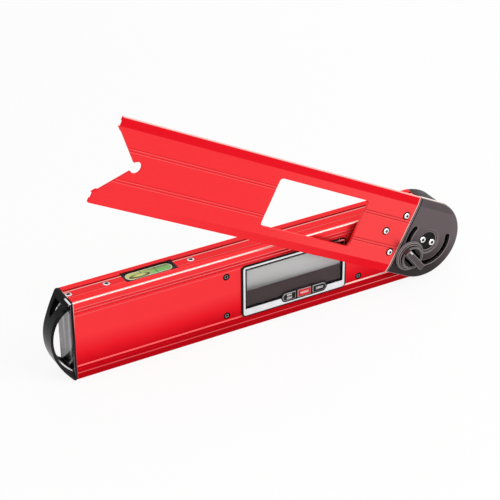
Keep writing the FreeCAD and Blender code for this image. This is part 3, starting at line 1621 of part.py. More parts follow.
# ---------------------------------------------------------------- end cap


def fork_opening(foot, rise):
    """A slot between the loop's two straps: wide at the foot, with a round tip."""
    near, bend = foot + s.fork_foot * rise, foot + s.fork_reach * rise
    wide, tip = s.fork_half_width, s.fork_tip_radius
    return [
        (SPINE_Y - wide, near),
        (SPINE_Y + wide, near),
        (SPINE_Y + tip, bend, tip * rise),
        (SPINE_Y, bend + tip * rise, tip * rise),
        (SPINE_Y - tip, bend),
    ]


def waist(side):
    """What is taken off one side of the loop, so that it is slim between its feet."""
    flare = s.loop_foot_half_width - s.loop_half_width
    high = s.loop_flare_height
    bend = (flare * flare + high * high) / (flare * 2)
    foot_low, foot_high = s.loop_foot_inset, TOP - s.loop_foot_inset
    beyond = BACK + s.loop_foot_inset
    return [
        (beyond * side, foot_low),
        (s.loop_foot_half_width * side, foot_low, -bend * side),
        (s.loop_half_width * side, foot_low + high),
        (s.loop_half_width * side, foot_high - high, -bend * side),
        (s.loop_foot_half_width * side, foot_high),
        (beyond * side, foot_high),
    ]


def make_end_cap():
    """The glossy end cap with its hang loop, forked at both feet."""
    body = new_body("hang_loop_cap")
    plate_left = RAIL_LEFT - s.cap_plate
    gap = s.fit_gap
    extrude(body, "plate", "YZ", plate_left, s.cap_plate, [
        rounded(FRONT, as_size(0), BACK, TOP, s.rail_edge)])
    extrude(body, "spigot", "YZ", RAIL_LEFT, s.cap_spigot_length, [
        rectangle(INSIDE_FRONT + gap, s.edge_wall + gap, INSIDE_BACK - gap, INSIDE_TOP - gap)])
    wall = s.cap_spigot_wall
    cut(body, "spigot_room", "YZ", RAIL_LEFT + wall, s.cap_spigot_length, [rectangle(
        INSIDE_FRONT + gap + wall, s.edge_wall + gap + wall,
        INSIDE_BACK - gap - wall, INSIDE_TOP - s.top_screw_length)])
    cut(body, "screw_hole", "XY", INSIDE_TOP - s.top_screw_length + 1, s.top_screw_length,
        [Circle(RAIL_LEFT + s.end_screw_inset, SPINE_Y, s.screw_radius)])
    outer, inner = s.loop_outer_radius, s.loop_inner_radius
    outer_middle = RAIL_LEFT - s.loop_reach + outer
    inner_middle = RAIL_LEFT - s.loop_reach + s.loop_thickness + inner
    corner = outer_middle - root(outer * outer - HALF_HEIGHT * HALF_HEIGHT)
    inset = inner_middle - plate_left
    inner_rise = root(inner * inner - inset * inset)
    inside = plate_left + s.cap_plate / 2
    extrude(body, "loop", "XZ", BACK, s.rail_depth, [[
        (corner, TOP, outer),
        (corner, as_size(0)),
        (inside, as_size(0)),
        (inside, TOP),
    ]])
    cut(body, "loop_opening", "XZ", BACK + 1, s.rail_depth + 2, [[
        (plate_left, PIVOT_Z + inner_rise, inner),
        (plate_left, PIVOT_Z - inner_rise),
    ]])
    start, length = plate_left - s.loop_reach, s.loop_reach
    for word, side in (("front_waist", -1), ("rear_waist", 1)):
        cut(body, word, "YZ", start, length, [waist(side)])
    for word, foot, rise in (("lower_fork", as_size(0), 1), ("upper_fork", TOP, -1)):
        cut(body, word, "YZ", start, length, [fork_opening(foot, rise)])
    return body


# ---------------------------------------------------------------- assembly


def place_turned_bodies():
    """Turns the arm's pieces about the pivot and the knob's about the bolt."""
    turned = [(ARM_PIECES, PIVOT_X, PIVOT_Z, s.arm_angle),
              (KNOB_PIECES, CLAMP_X, CLAMP_Z, s.knob_bar_angle)]
    for bodies, x, z, angle in turned:
        for body in bodies:
            turn_about_y = FreeCAD.Rotation(FreeCAD.Vector(0, 1, 0), angle.number)
            place = FreeCAD.Vector(x.number, 0, z.number)
            body.Placement = FreeCAD.Placement(place, turn_about_y)
            body.setExpression("Placement.Base.x", x.text)
            body.setExpression("Placement.Base.z", z.text)
            body.setExpression("Placement.Rotation.Angle", angle.text)


def build():
    bodies = [
        make_rail(),
        make_hinge_end(),
        make_end_cap(),
        make_top_screws(),
        make_front_screws(),
        make_hinge_screws(),
        make_pivot_bush(),
        make_friction_washer(),
        make_rear_cover(),
        make_rear_cover_screws(),
        make_encoder_board(),
        make_ribbon(),
        make_clamp_pad(),
        make_clamp_bolt(),
        make_clamp_knob(),
        make_knob_insert(),
        make_arm_blade(),
        make_hinge_plate(),
        make_rivets(),
        make_hinge_cover(),
        make_pivot_hub(),
        make_pivot_retainer(),
        make_pivot_screws(),
        make_spring_washer(),
        make_retaining_ring(),
        make_encoder_rotor(),
        make_bezel(),
        make_trim(),
        make_lens(),
        make_lcd(),
        make_zebra_strips(),
        make_chassis(),
        make_main_board(),
        make_button("button_left", -1),
        make_button("button_middle", 0),
        make_button("button_right", 1),
        make_domes(),
        make_vial_holder(),
        make_vial_tube(),
        make_vial_fluid(),
        make_battery_tray(),
        make_cell("battery_cell_upper", 1),
        make_cell("battery_cell_lower", -1),
        make_contacts(),
        make_battery_door(),
        make_door_screw(),
    ]
    place_turned_bodies()
    document.recompute()
    return bodies


def check(bodies):
    """Stops the build if a feature failed, a shape is bad or a cut cut nothing."""
    for item in document.Objects:
        if "Invalid" in item.State or "Error" in item.State:
            raise RuntimeError(f"{item.Name} did not compute: {item.State}")
        if item.TypeId in ("PartDesign::Pocket", "PartDesign::Groove"):
            if item.Shape.Volume > item.BaseFeature.Shape.Volume - 0.001:
                raise RuntimeError(f"{item.Name} cut nothing")
    for body in bodies:
        if body.Shape.isNull() or not body.Shape.isValid():
            raise RuntimeError(f"{body.Label} has no valid shape")


def export(bodies):
    os.makedirs("parts", exist_ok=True)
    for body in bodies:
        body.Shape.exportStep(f"parts/{body.Label}.step")


pieces = build()
check(pieces)
export(pieces)
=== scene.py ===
"""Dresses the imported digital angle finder: finishes, moulded pieces, print, stage."""

import json
import math
from collections import Counter

import bmesh
import bpy
from bpy.props import FloatProperty, FloatVectorProperty, PointerProperty
from mathutils import Matrix, Vector


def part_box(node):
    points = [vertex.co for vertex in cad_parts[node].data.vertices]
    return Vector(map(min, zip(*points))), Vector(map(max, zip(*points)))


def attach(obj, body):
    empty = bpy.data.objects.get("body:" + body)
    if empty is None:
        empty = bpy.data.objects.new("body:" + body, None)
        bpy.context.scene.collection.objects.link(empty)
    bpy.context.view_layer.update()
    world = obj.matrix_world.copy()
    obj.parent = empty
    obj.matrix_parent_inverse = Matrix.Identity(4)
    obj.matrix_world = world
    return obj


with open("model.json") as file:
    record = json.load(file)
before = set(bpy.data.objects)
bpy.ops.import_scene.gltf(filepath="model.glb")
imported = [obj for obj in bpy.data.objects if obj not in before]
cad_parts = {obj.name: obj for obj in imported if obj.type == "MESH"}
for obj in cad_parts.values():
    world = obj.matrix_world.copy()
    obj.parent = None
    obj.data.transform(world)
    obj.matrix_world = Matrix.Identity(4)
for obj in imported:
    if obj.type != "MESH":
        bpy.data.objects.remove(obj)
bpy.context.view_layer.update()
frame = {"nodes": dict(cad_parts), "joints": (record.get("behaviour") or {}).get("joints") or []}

bl_info = {
    "name": "Angle Finder Dressing",
    "version": (1, 0, 0),
    "blender": (4, 5, 0),
    "location": "3D View > Sidebar > Angle Finder",
    "description": "Finishes and moulded pieces for a digital angle finder",
    "category": "Object",
}

MM = 0.001
RAIL = "rail"


def joint_place(name):
    """Where a joint of the frame stands, in metres."""
    return Vector(next(entry for entry in frame["joints"] if entry["name"] == name)["pos_m"])


# Places that the frame gives.
PIVOT = joint_place("arm_pivot")
CLAMP = joint_place("clamp_knob_turn")
RAIL_LOW, RAIL_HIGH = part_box("body_rail")
RAIL_TOP = RAIL_HIGH.z
RAIL_BACK = RAIL_HIGH.y
ARM_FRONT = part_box("arm_blade")[0].y
COVER_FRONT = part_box("hinge_cover")[0].y
KNOB_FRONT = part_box("clamp_knob")[0].y
VIAL_LOW, VIAL_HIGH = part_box("vial_tube")
VIAL_MIDDLE = (VIAL_LOW + VIAL_HIGH) / 2
VIAL_HALF = (VIAL_HIGH - VIAL_LOW) / 2

# Measures of the pieces, and of the marks painted on them.
KNOB_TILT = math.radians(51.5)
PIVOT_SHADE_RADIUS = 27 * MM
ARM_SLOPE = 27.7 * MM
TUBE_INSET = 1.3 * MM
TUBE_SHIFT = 0.7 * MM
BUBBLE_MIDDLE = VIAL_MIDDLE + Vector((-8.6 * MM, -0.9 * MM, 0))
BUBBLE_HALF = Vector((9.4 * MM, 2.9 * MM, 0.5 * MM))
RAIL_CORNER = 1.0 * MM
SAWN_PROUD = 0.03 * MM
SAWN_DEPTH = 0.3 * MM
CAP_PLATE = 2.0 * MM
CAP_RIM = 13.2 * MM
LOOP_INNER = 34.4 * MM
LOOP_MIDDLE = (-142.2 * MM, 0.0, 35.0 * MM)
PANEL_THICK = 0.12 * MM
PRINT_DEPTH = 0.04 * MM
MASK_GAP = 0.03 * MM
MASK_THICK = 0.06 * MM
LINE_THICK = 0.05 * MM

# How round shapes and sharp edges are made.
SHARP_ANGLE = math.radians(35)
WELD_GAP = 0.001 * MM
CORNER_STEPS = 6
DOME_STEPS = (32, 6)

# Shine of the coatings, the stretch of their drawn grain, and the colour of painted glints.
SOFT_SHINE = 0.2
COAT_METAL = 0.72
COAT_GLARE = (1.0, 0.3, 0.3)
DRAWN = (14, 900, 900)
GLINT = (0.85, 0.84, 0.86)

# Fine lines along the faces, in millimetres: grooves, darkened as painted shade, by their place
# across the face; the others, painted highlights and painted shade, also by half their width and
# by their strength.
SIDE_GROOVES = (7.0, 9.6, 60.4, 63.0)
SIDE_RIB = 12.3
SIDE_HIGHLIGHTS = (
    (6.0, 0.2, 0.35), (SIDE_RIB, 0.35, 0.75), (57.4, 0.2, 0.35), (61.7, 0.35, 0.3),
    (64.3, 0.3, 0.35))
ROOF_HIGHLIGHTS = ((-12.9, 0.65, 1.0), (5.0, 0.4, 0.8), (-3.9, 0.3, 0.6))
ROOF_SHADES = ((6.5, 0.7, 0.85), (-2.7, 0.3, 0.35))
ARM_GROOVES = (-13.6, -11.4, 11.4, 13.6)

# Tones of a fastener's head, each by its distance from the middle in
# millimetres, as far as HEAD_SPAN.
HEAD_SPAN = 4 * MM
# Painted highlight: the pale ring inside a dark front screw's head.
DARK_HEAD = (
    (0.0, 0.004), (0.9, 0.005), (1.2, 0.32), (1.5, 0.35), (1.85, 0.02), (2.9, 0.004))
# The pale ring round a black top screw's middle: partly bare metal, partly painted highlight.
PALE_HEAD = ((0.0, 0.01), (1.2, 0.012), (1.7, 0.5), (2.1, 0.85), (2.9, 0.9))
# The dark ring of a pivot screw is painted shade in its socket.
PIVOT_HEAD = ((0.0, 0.25), (0.5, 0.02), (1.3, 0.02), (1.5, 0.95), (2.9, 0.95))
# A rivet's pale middle dot is a painted highlight, its dark dimple painted shade, its dark outer
# ring a painted shadow.
RIVET_HEAD = (
    (0.0, 0.8), (0.25, 0.7), (0.5, 0.03), (1.15, 0.03), (1.4, 0.95), (2.4, 0.95),
    (2.7, 0.05))

KEY_WORDS = {"left": ("ON", "OFF"), "middle": ("HOLD",), "right": ("ZERO",)}

# The stage: each lamp by its place, its size and the name of its power.
FLOOR_HALF = 6.0
FLOOR_GAP = 0.2 * MM
FLOOR_GLOW = 0.88
LAMP_AIM = Vector((0, 0, 60 * MM))
LAMPS = (
    ("edge_strip", (0.63, -0.75, 1.2), (1.3, 0.14), "strip_power"),
    ("top_softbox", (-0.15, -0.1, 1.4), (1.2, 1.2), "top_power"),
    ("front_softbox", (-0.7, -1.4, 0.7), (0.9, 0.9), "front_power"),
    ("rim_strip", (0.98, 1.13, 0.22), (1.3, 0.35), "rim_power"),
)


def middles(name):
    """The middle of each separate solid of a node."""
    shape = bmesh.new()
    shape.from_mesh(frame["nodes"][name].data)
    bmesh.ops.remove_doubles(shape, verts=shape.verts, dist=WELD_GAP)
    found, left = [], set(shape.verts)
    while left:
        solid = [left.pop()]
        for vert in solid:
            near = {link.other_vert(vert) for link in vert.link_edges} & left
            left -= near
            solid.extend(near)
        spans = [[vert.co[axis] for vert in solid] for axis in range(3)]
        found.append(Vector([(min(span) + max(span)) / 2 for span in spans]))
    shape.free()
    return sorted(found, key=lambda point: (point.x, point.z))


# ---- shader maths

FINISHES = {}


class Value:
    """One output of a node; arithmetic on it adds Math nodes."""

    def __init__(self, nodes, socket):
        self.nodes = nodes
        self.socket = socket

    def __add__(self, other):
        return self.nodes.maths("ADD", self, other)

    def __radd__(self, other):
        return self.nodes.maths("ADD", other, self)

    def __sub__(self, other):
        return self.nodes.maths("SUBTRACT", self, other)

    def __rsub__(self, other):
        return self.nodes.maths("SUBTRACT", other, self)

    def __mul__(self, other):
        return self.nodes.maths("MULTIPLY", self, other)

    def __rmul__(self, other):
        return self.nodes.maths("MULTIPLY", other, self)

    def __neg__(self):
        return self.nodes.maths("SUBTRACT", 0.0, self)

    def __abs__(self):
        return self.nodes.maths("ABSOLUTE", self)

    def axes(self):
        """The three parts of a vector."""
        split = self.nodes.node("ShaderNodeSeparateXYZ", {}, {0: self})
        return [Value(self.nodes, socket) for socket in split.socket.node.outputs]


class Nodes:
    """The nodes of a material or of the world, and the one way they join it."""

    def __init__(self, owner, output):
        owner.use_nodes = True
        self.tree = owner.node_tree
        self.tree.nodes.clear()
        self.output = self.tree.nodes.new(output)

    def feed(self, socket, value):
        """Links a socket to a node's output, or gives it a plain value."""
        if isinstance(value, Value):
            self.tree.links.new(value.socket, socket)
        elif socket.type == "RGBA" and len(value) == 3:
            socket.default_value = (*value, 1.0)
        else:
            socket.default_value = value

    def node(self, kind, settings, sockets, output=0):
        """Adds a node: its settings first, then values or links by socket."""
        node = self.tree.nodes.new(kind)
        for word, value in settings.items():
            if word == "stops":
                fill_ramp(node.color_ramp, value)
            else:
                setattr(node, word, value)
        for key, value in sockets.items():
            self.feed(node.inputs[key], value)
        return Value(self, node.outputs[output])

    def maths(self, operation, first, second=0.0):
        """One Math node."""
        return self.node("ShaderNodeMath", {"operation": operation}, {0: first, 1: second})

    def show(self, surface):
        """Makes a shader the surface."""
        self.feed(self.output.inputs["Surface"], surface)

    def to_the_eye(self, plain, shown, share):
        """Shows a share of another shader to the eye, in gloss and through glass."""
        rays = self.node("ShaderNodeLightPath", {}, {})
        seen = rays
        for word in ("Is Glossy Ray", "Is Transmission Ray"):
            seen = self.maths("MAXIMUM", seen, Value(self, rays.socket.node.outputs[word]))
        self.show(self.node("ShaderNodeMixShader", {}, {0: seen * share, 1: plain, 2: shown}))


class Finish(Nodes):
    """A material with one Principled shader, kept in FINISHES by its name."""

    def __init__(self, name, **sockets):
        self.material = FINISHES[name] = bpy.data.materials.new(name)
        super().__init__(self.material, "ShaderNodeOutputMaterial")
        self.shader = self.tree.nodes.new("ShaderNodeBsdfPrincipled")
        self.show(Value(self, self.shader.outputs[0]))
        self.set(**sockets)

    def set(self, **sockets):
        """Sets or links sockets of the Principled shader; base_color is Base Color."""
        for word, value in sockets.items():
            name = " ".join(part.capitalize() for part in word.split("_"))
            name = {"Ior": "IOR", "Specular Ior Level": "Specular IOR Level"}.get(name, name)
            self.feed(self.shader.inputs[name], value)

    def between(self, low, high, factor):
        """Blends two colours; the sockets of a colour Mix are 6 and 7."""
        settings = {"data_type": "RGBA", "blend_type": "MIX"}
        return self.node("ShaderNodeMix", settings, {0: factor, 6: low, 7: high}, output=2)

    def ramp(self, value, stops):
        """Colours by value; each stop is a place from 0 to 1 and a colour."""
        return self.node("ShaderNodeValToRGB", {"stops": stops}, {0: value})

    def step(self, value, low, high):
        """0 below low, 1 above high, straight between."""
        sockets = {"Value": value, "From Min": low, "From Max": high}
        return self.node("ShaderNodeMapRange", {"clamp": True}, sockets)

    def fade(self, value, low, high):
        """1 below low, 0 above high, straight between."""
        return 1.0 - self.step(value, low, high)

    def place(self, stretch=(1, 1, 1), tilt=0.0, middle=(0, 0, 0)):
        """Coordinates about a point of the part, turned about Y and stretched."""
        where = self.node("ShaderNodeTexCoord", {}, {}, output=3)
        return self.node("ShaderNodeMapping", {"vector_type": "TEXTURE"}, {
            "Vector": where,
            "Location": Vector(middle),
            "Rotation": Vector((0, tilt, 0)),
            "Scale": Vector([1 / amount for amount in stretch]),
        })

    def away(self, where, middle, across=(1, 0, 1)):
        """Distance from an axis: across has 0 for the direction of the axis."""
        flat = self.node(
            "ShaderNodeVectorMath", {"operation": "MULTIPLY"}, {0: where, 1: Vector(across)})
        foot = Vector([a * b for a, b in zip(middle, across)])
        return self.node(
            "ShaderNodeVectorMath", {"operation": "DISTANCE"}, {0: flat, 1: foot}, output=1)

    def nearest(self, where, middles, across=(1, 0, 1)):
        """Distance from the nearest of several axes."""
        distance = self.away(where, middles[0], across)
        for middle in middles[1:]:
            distance = self.maths("MINIMUM", distance, self.away(where, middle, across))
        return distance

    def band(self, value, middle, half, blur=0.15 * MM):
        """1 within half of the middle, 0 outside, with a narrow blur."""
        off = abs(value - middle)
        return self.fade(off, half, half + blur)

    def noise(self, where, scale, detail=2.0, rough=0.5):
        """Cloudy values round 0.5."""
        return self.node(
            "ShaderNodeTexNoise",
            {"noise_dimensions": "3D"},
            {"Vector": where, "Scale": scale, "Detail": detail, "Roughness": rough},
        )

    def bump(self, height, distance, strength):
        """Feeds a height to the shader's normal; distance is in metres."""
        sockets = {"Height": height, "Distance": distance, "Strength": strength}
        self.set(normal=self.node("ShaderNodeBump", {}, sockets))

    def lay(self, colour, roughness):
        """Gives the material its colour and its roughness."""
        self.set(base_color=colour, roughness=roughness)


def fill_ramp(ramp, stops):
    """Puts stops in place of those that the ramp has."""
    while len(ramp.elements) > 1:
        ramp.elements.remove(ramp.elements[-1])
    for index, (at, colour) in enumerate(stops):
        element = ramp.elements[0] if index == 0 else ramp.elements.new(at)
        element.position = at
        element.color = (*colour, 1.0)


def shade(colour, amount):
    """A colour made lighter (amount over 1) or darker."""
    return tuple(min(1.0, channel * amount) for channel in colour[:3])


# ---- finishes


def coated(name):
    """The satin coating over metal, before its colour."""
    return Finish(
        name, metallic=COAT_METAL, specular_ior_level=SOFT_SHINE, ior=1.5,
        specular_tint=COAT_GLARE)


def lay_coat(finish, colour, where, draw, cloud):
    """Sets a coating's colour, its drawn sheen and its fine peel."""
    finish.bump(finish.noise(where, 2600.0) * 0.5 + draw * 0.5, 0.03 * MM, 0.4)
    finish.lay(colour, 0.27 + 0.1 * draw + 0.06 * cloud)


def rail_coat(look):
    """Coating of the rail: darker low down as painted shade, with painted shade in its grooves,
    at its channel's lips and black round the pivot, and painted highlights on its edges and
    ridges.
    """
    finish = coated("rail_red")
    where = finish.place()
    x, y, z = where.axes()
    draw = finish.noise(finish.place(DRAWN), 1.0, 3.0)
    cloud = finish.noise(where, 26.0, 3.0)
    # Painted shade: the coating darkens towards the foot of the rail.
    rise = finish.step(z + (cloud - 0.5) * 0.006, 4 * MM, 46 * MM)
    coat = finish.ramp(rise, [
        (0.0, shade(look.rail_shade, 0.75)), (0.2, look.rail_shade),
        (0.45, look.rail_half_shade), (0.8, look.rail_colour)])
    sides = finish.step(abs(y), RAIL_BACK - 0.9 * MM, RAIL_BACK - 0.8 * MM)
    # Painted shade in the grooves along the sides.
    for height in SIDE_GROOVES:
        groove_shade = finish.band(z, height * MM, 0.6 * MM, 0.5 * MM) * sides * 0.8
        coat = finish.between(coat, shade(look.rail_shade, 0.6), groove_shade)
    near_hinge = finish.step(x, 78 * MM, 92 * MM) * 0.3
    # Painted highlights: light lines along the ridges of the sides, stronger near the hinge.
    for height, half, strength in SIDE_HIGHLIGHTS:
        ridge_highlight = finish.band(z, height * MM, half * MM, 0.25 * MM) * sides
        ridge_highlight = ridge_highlight * (strength + near_hinge + 0.3 * draw)
        coat = finish.between(coat, look.ridge_highlight_colour, ridge_highlight)
    # Painted highlight: a bright line along the front's low rib, right of the display.
    bright = finish.band(z, SIDE_RIB * MM, 0.4 * MM, 0.25 * MM) * sides
    bright = bright * finish.step(-y, 0.0, MM) * finish.step(x, 70 * MM, 78 * MM)
    coat = finish.between(coat, look.highlight_colour, bright)
    # Painted highlights: bright lines along the roof's front edge and its channel's walls.
    roof = finish.step(z, RAIL_TOP - 1.3 * MM, RAIL_TOP - 0.8 * MM)
    for off, half, strength in ROOF_HIGHLIGHTS:
        line = finish.band(y, off * MM, half * MM, 0.25 * MM) * roof
        coat = finish.between(coat, look.highlight_colour, line * (strength - 0.35 * cloud))
    # Painted shade: dark lines at the lips of the roof's channel.
    for off, half, strength in ROOF_SHADES:
        lip_shade = finish.band(y, off * MM, half * MM, 0.2 * MM) * roof * strength
        coat = finish.between(coat, shade(look.rail_shade, 0.6), lip_shade)
    # Painted shade: the rail black round the pivot, where it lies under the hinge cover.
    pivot_shade = finish.fade(finish.away(where, PIVOT), PIVOT_SHADE_RADIUS, PIVOT_SHADE_RADIUS + MM)
    coat = finish.between(coat, look.black_colour, pivot_shade)
    lay_coat(finish, coat, where, draw, cloud)


def sawn_end(look):
    """The rail's sawn end: a rim with a painted highlight, pale at its top, fading to the coating
    towards its foot.
    """
    finish = Finish("rail_sawn_end", metallic=COAT_METAL, specular_ior_level=SOFT_SHINE)
    where = finish.place()
    _, _, z = where.axes()
    saw = finish.noise(finish.place((900, 900, 60)), 1.0, 4.0)
    # Painted highlight: the rim pale towards its top.
    lit_top = finish.step(z + saw * 0.012, 46 * MM, 72 * MM)
    finish.lay(
        finish.between(shade(look.rail_colour, 0.9), look.highlight_colour, lit_top),
        0.24 + 0.14 * saw)


def arm_coat(look):
    """Coating of the arm, a little paler beside the cover; painted shade on its sloped edges, in
    its grooves and round its rivets; painted highlights on its ridges, its top edge and its end
    beside the cover.
    """
    finish = coated("arm_red")
    tilt = look.arm_angle
    where = finish.place(tilt=tilt, middle=PIVOT)
    x, y, z = where.axes()
    draw = finish.noise(finish.place(DRAWN, tilt, PIVOT), 1.0, 3.0)
    cloud = finish.noise(where, 22.0, 3.0)
    reach = finish.step(cloud * 0.03 - x, 90 * MM, 200 * MM)
    coat = finish.between(look.arm_near, look.arm_colour, reach)
    # Painted shade: the arm's sloped edges darker.
    upper = finish.step(z, ARM_SLOPE, ARM_SLOPE + 0.5 * MM)
    lower = finish.step(-z, ARM_SLOPE, ARM_SLOPE + 0.5 * MM) * finish.fade(-x, 60 * MM, 260 * MM)
    coat = finish.between(coat, look.arm_slope_shade, finish.maths("MAXIMUM", upper, lower))
    front = finish.fade(y, ARM_FRONT + 1.3 * MM, ARM_FRONT + 1.5 * MM)
    # Painted shade in the arm's grooves, with a painted highlight line beside each.
    for height in ARM_GROOVES:
        groove_shade = finish.band(z, height * MM, 0.25 * MM, 0.25 * MM) * front
        groove_shade = groove_shade * (0.6 - 0.3 * reach)
        coat = finish.between(coat, shade(look.rail_shade, 0.7), groove_shade)
        ridge_highlight = finish.band(z, (height - 0.7) * MM, 0.1 * MM, 0.2 * MM) * front
        ridge_highlight = ridge_highlight * (0.3 + 0.2 * reach)
        coat = finish.between(coat, look.ridge_highlight_colour, ridge_highlight)
    # Painted highlights: a pale line along the arm's top edge and at its end beside the cover.
    crest_highlight = finish.step(z, 34.3 * MM, 34.7 * MM) * 0.6
    end_highlight = finish.step(x, -28.6 * MM, -28.1 * MM) * 0.8
    coat = finish.between(coat, look.highlight_colour, finish.maths("MAXIMUM", crest_highlight, end_highlight))
    closed = Matrix.Rotation(-tilt, 3, "Y")
    rivets = [closed @ (middle - PIVOT) for middle in middles("arm_rivets")]
    # Painted shadow: a dark ring round each rivet.
    ring = finish.band(finish.nearest(where, rivets), 3.25 * MM, 0.3 * MM, 0.25 * MM) * front
    coat = finish.between(coat, shade(look.rail_shade, 0.1), ring * 0.9)
    lay_coat(finish, coat, where, draw, cloud)


def moulded(name, colour, roughness, grain_scale, grain_depth, shine=0.12):
    """Moulded plastic with a spark-eroded grain, its depth in millimetres."""
    finish = Finish(name, specular_ior_level=shine, ior=1.5)
    where = finish.place()
    grain = finish.noise(where, grain_scale, 3.0, 0.6)
    cloud = finish.noise(where, 35.0, 2.0)
    finish.bump(grain, grain_depth * MM, 0.6)
    finish.lay(
        finish.between(shade(colour, 0.85), shade(colour, 1.15), cloud),
        (roughness - 0.04) + 0.08 * grain)


def cap_gloss(look):
    """Glossy black moulding: its lower half greyer as a painted reflection, with painted
    highlights on its rims, its loop's inner edge and its top.
    """
    finish = Finish("cap_gloss", specular_ior_level=0.08, ior=1.5)
    where = finish.place()
    x, y, z = where.axes()
    cloud = finish.noise(where, 60.0, 3.0)
    # Painted reflection: the lower half greyer than the black top.
    rise = finish.step(z + (cloud - 0.5) * 0.01, 6 * MM, 52 * MM)
    grey = finish.ramp(rise, [
        (0.0, look.cap_low_reflection), (0.45, look.cap_low_reflection), (0.85, look.black_colour)])
    facing = finish.node("ShaderNodeTexCoord", {}, {}, output=1).axes()
    sideways = abs(facing[1])
    # Painted highlight: pale bands along the rims of the loop's straps.
    rim = finish.step(abs(y), CAP_RIM, CAP_RIM + 0.25 * MM)
    rim = rim * finish.fade(sideways, 0.6, 0.7)
    rim_highlight = finish.ramp(z * (1 / RAIL_TOP) + 0.16 * (cloud - 0.5), [
        (0.05, look.cap_low_reflection), (0.14, look.cap_rim_highlight), (0.3, look.cap_rim_highlight),
        (0.42, look.cap_low_reflection), (0.86, look.cap_low_reflection), (0.93, look.cap_rim_highlight)])
    grey = finish.between(grey, rim_highlight, rim)
    glint = finish.band(finish.away(where, LOOP_MIDDLE), LOOP_INNER + 0.5 * MM, 0.5 * MM)
    glint = glint * finish.step(-facing[1], 0.3, 0.4) * finish.step(-y, 7 * MM, 8 * MM)
    glint = glint * finish.step(z, 5 * MM, 7 * MM) * finish.fade(z, 15 * MM, 20 * MM)
    glint = glint * finish.step(-x, 163.4 * MM, 163.9 * MM)
    # Painted highlight: a pale mark at the top end of the front strap, joined with the glint.
    head = finish.step(z, 69.4 * MM, 69.6 * MM) * finish.step(-x, 162.4 * MM, 162.6 * MM)
    head = head * finish.step(x, -164.4 * MM, -164.2 * MM)
    head = head * finish.fade(y + (cloud - 0.5) * 0.004, -5 * MM, -3 * MM)
    head = finish.maths("MAXIMUM", head, glint)
    finish.bump(finish.noise(where, 700.0), 0.01 * MM, 0.4)
    finish.lay(
        finish.between(grey, GLINT, head),
        0.12 + 0.1 * (1.0 - rise) + 0.05 * cloud)


def cap_panel(look):
    """The cap's flat end: upright streaks of painted reflection, black at its foot and near side.
    """
    finish = Finish("cap_panel", specular_ior_level=0.4, ior=1.5)
    where = finish.place()
    _, y, z = where.axes()
    # Painted reflection: upright streaks on the polished end.
    reflection_streak = finish.noise(finish.place((1, 420, 14)), 1.0, 4.0, 0.6)
    ragged = finish.noise(finish.place((1, 260, 30)), 1.0, 3.0)
    foot = finish.step(z + ragged * 0.014, 20 * MM, 30 * MM)
    side = finish.step(y + ragged * 0.004, -10.5 * MM, -7.5 * MM)
    grey = finish.ramp(reflection_streak, [
        (0.34, shade(look.panel_reflection, 0.3)), (0.5, look.panel_reflection),
        (0.64, shade(look.panel_reflection, 2.4))])
    finish.lay(finish.between(look.black_colour, grey, foot * side), 0.12 + 0.1 * reflection_streak)


def cover_grain(look):
    """Grained grey moulding: paler above and darker on its slope as painted light, black as
    painted shade in its slots, its recess and beside the blade, with a painted highlight along
    its top edge.
    """
    finish = Finish("cover_grain", specular_ior_level=0.12, ior=1.5)
    tilt = look.arm_angle
    where = finish.place(tilt=tilt, middle=PIVOT)
    x, y, z = where.axes()
    grain = finish.noise(where, 1500.0, 3.0, 0.6)
    cloud = finish.noise(where, 45.0, 2.0)
    # Painted light: the cover paler above, darker low down.
    rise = finish.step(z + (cloud - 0.5) * 0.008, -20 * MM, 12 * MM)
    grey = finish.between(look.cover_shade, look.cover_colour, rise)
    # Painted shade: black in the slots and the recess.
    recess_shade = finish.step(y, COVER_FRONT + 0.8 * MM, COVER_FRONT + 1.0 * MM)
    inside = finish.fade(finish.away(where, (0, 0, 0)), 25.0 * MM, 26.0 * MM)
    # Painted shade: the cover's sloped top darker.
    slope = finish.step(z, 27.6 * MM, 28.4 * MM) * 0.35
    grey = finish.between(grey, look.cover_shade, slope)
    # Painted shade: a black line in the gap beside the blade.
    gap_shade = finish.fade(x, -25.0 * MM, -24.8 * MM)
    grey = finish.between(grey, look.black_colour, gap_shade)
    # Painted highlight: a pale line along the cover's top edge.
    crest_highlight = finish.step(z, 34.6 * MM, 34.8 * MM) * 0.95
    grey = finish.between(grey, look.highlight_colour, crest_highlight)
    finish.bump(grain, 0.1 * MM, 0.6)
    finish.lay(finish.between(grey, look.black_colour, recess_shade * inside), 0.46 + 0.1 * grain)


def knob_grain(look):
    """The knob's moulding: painted shade dark in its dish, paler on its grip bar's face, with a
    painted glint near the bar's end.
    """
    finish = Finish("knob_grain", specular_ior_level=0.12, ior=1.5)
    where = finish.place(tilt=KNOB_TILT, middle=CLAMP)
    x, y, z = where.axes()
    grain = finish.noise(where, 1800.0, 3.0, 0.6)
    out = finish.away(where, (0, 0, 0))
    # Painted shade: the dish inside the flange darker.
    flange = finish.step(out, 11.0 * MM, 11.6 * MM)
    grey = finish.between(shade(look.knob_colour, 0.4), look.knob_colour, flange)
    bar = finish.fade(y, KNOB_FRONT + 0.3 * MM, KNOB_FRONT + 0.6 * MM)
    grey = finish.between(grey, look.knob_bar, bar)
    glint = finish.band(x, -9.6 * MM, 1.5 * MM, 0.8 * MM) * bar
    glint = glint * finish.band(z, 2.0 * MM, 0.6 * MM, 0.5 * MM)
    finish.bump(grain, 0.06 * MM, 0.6)
    finish.lay(finish.between(grey, (0.8, 0.8, 0.8), glint), 0.3 + 0.1 * grain)


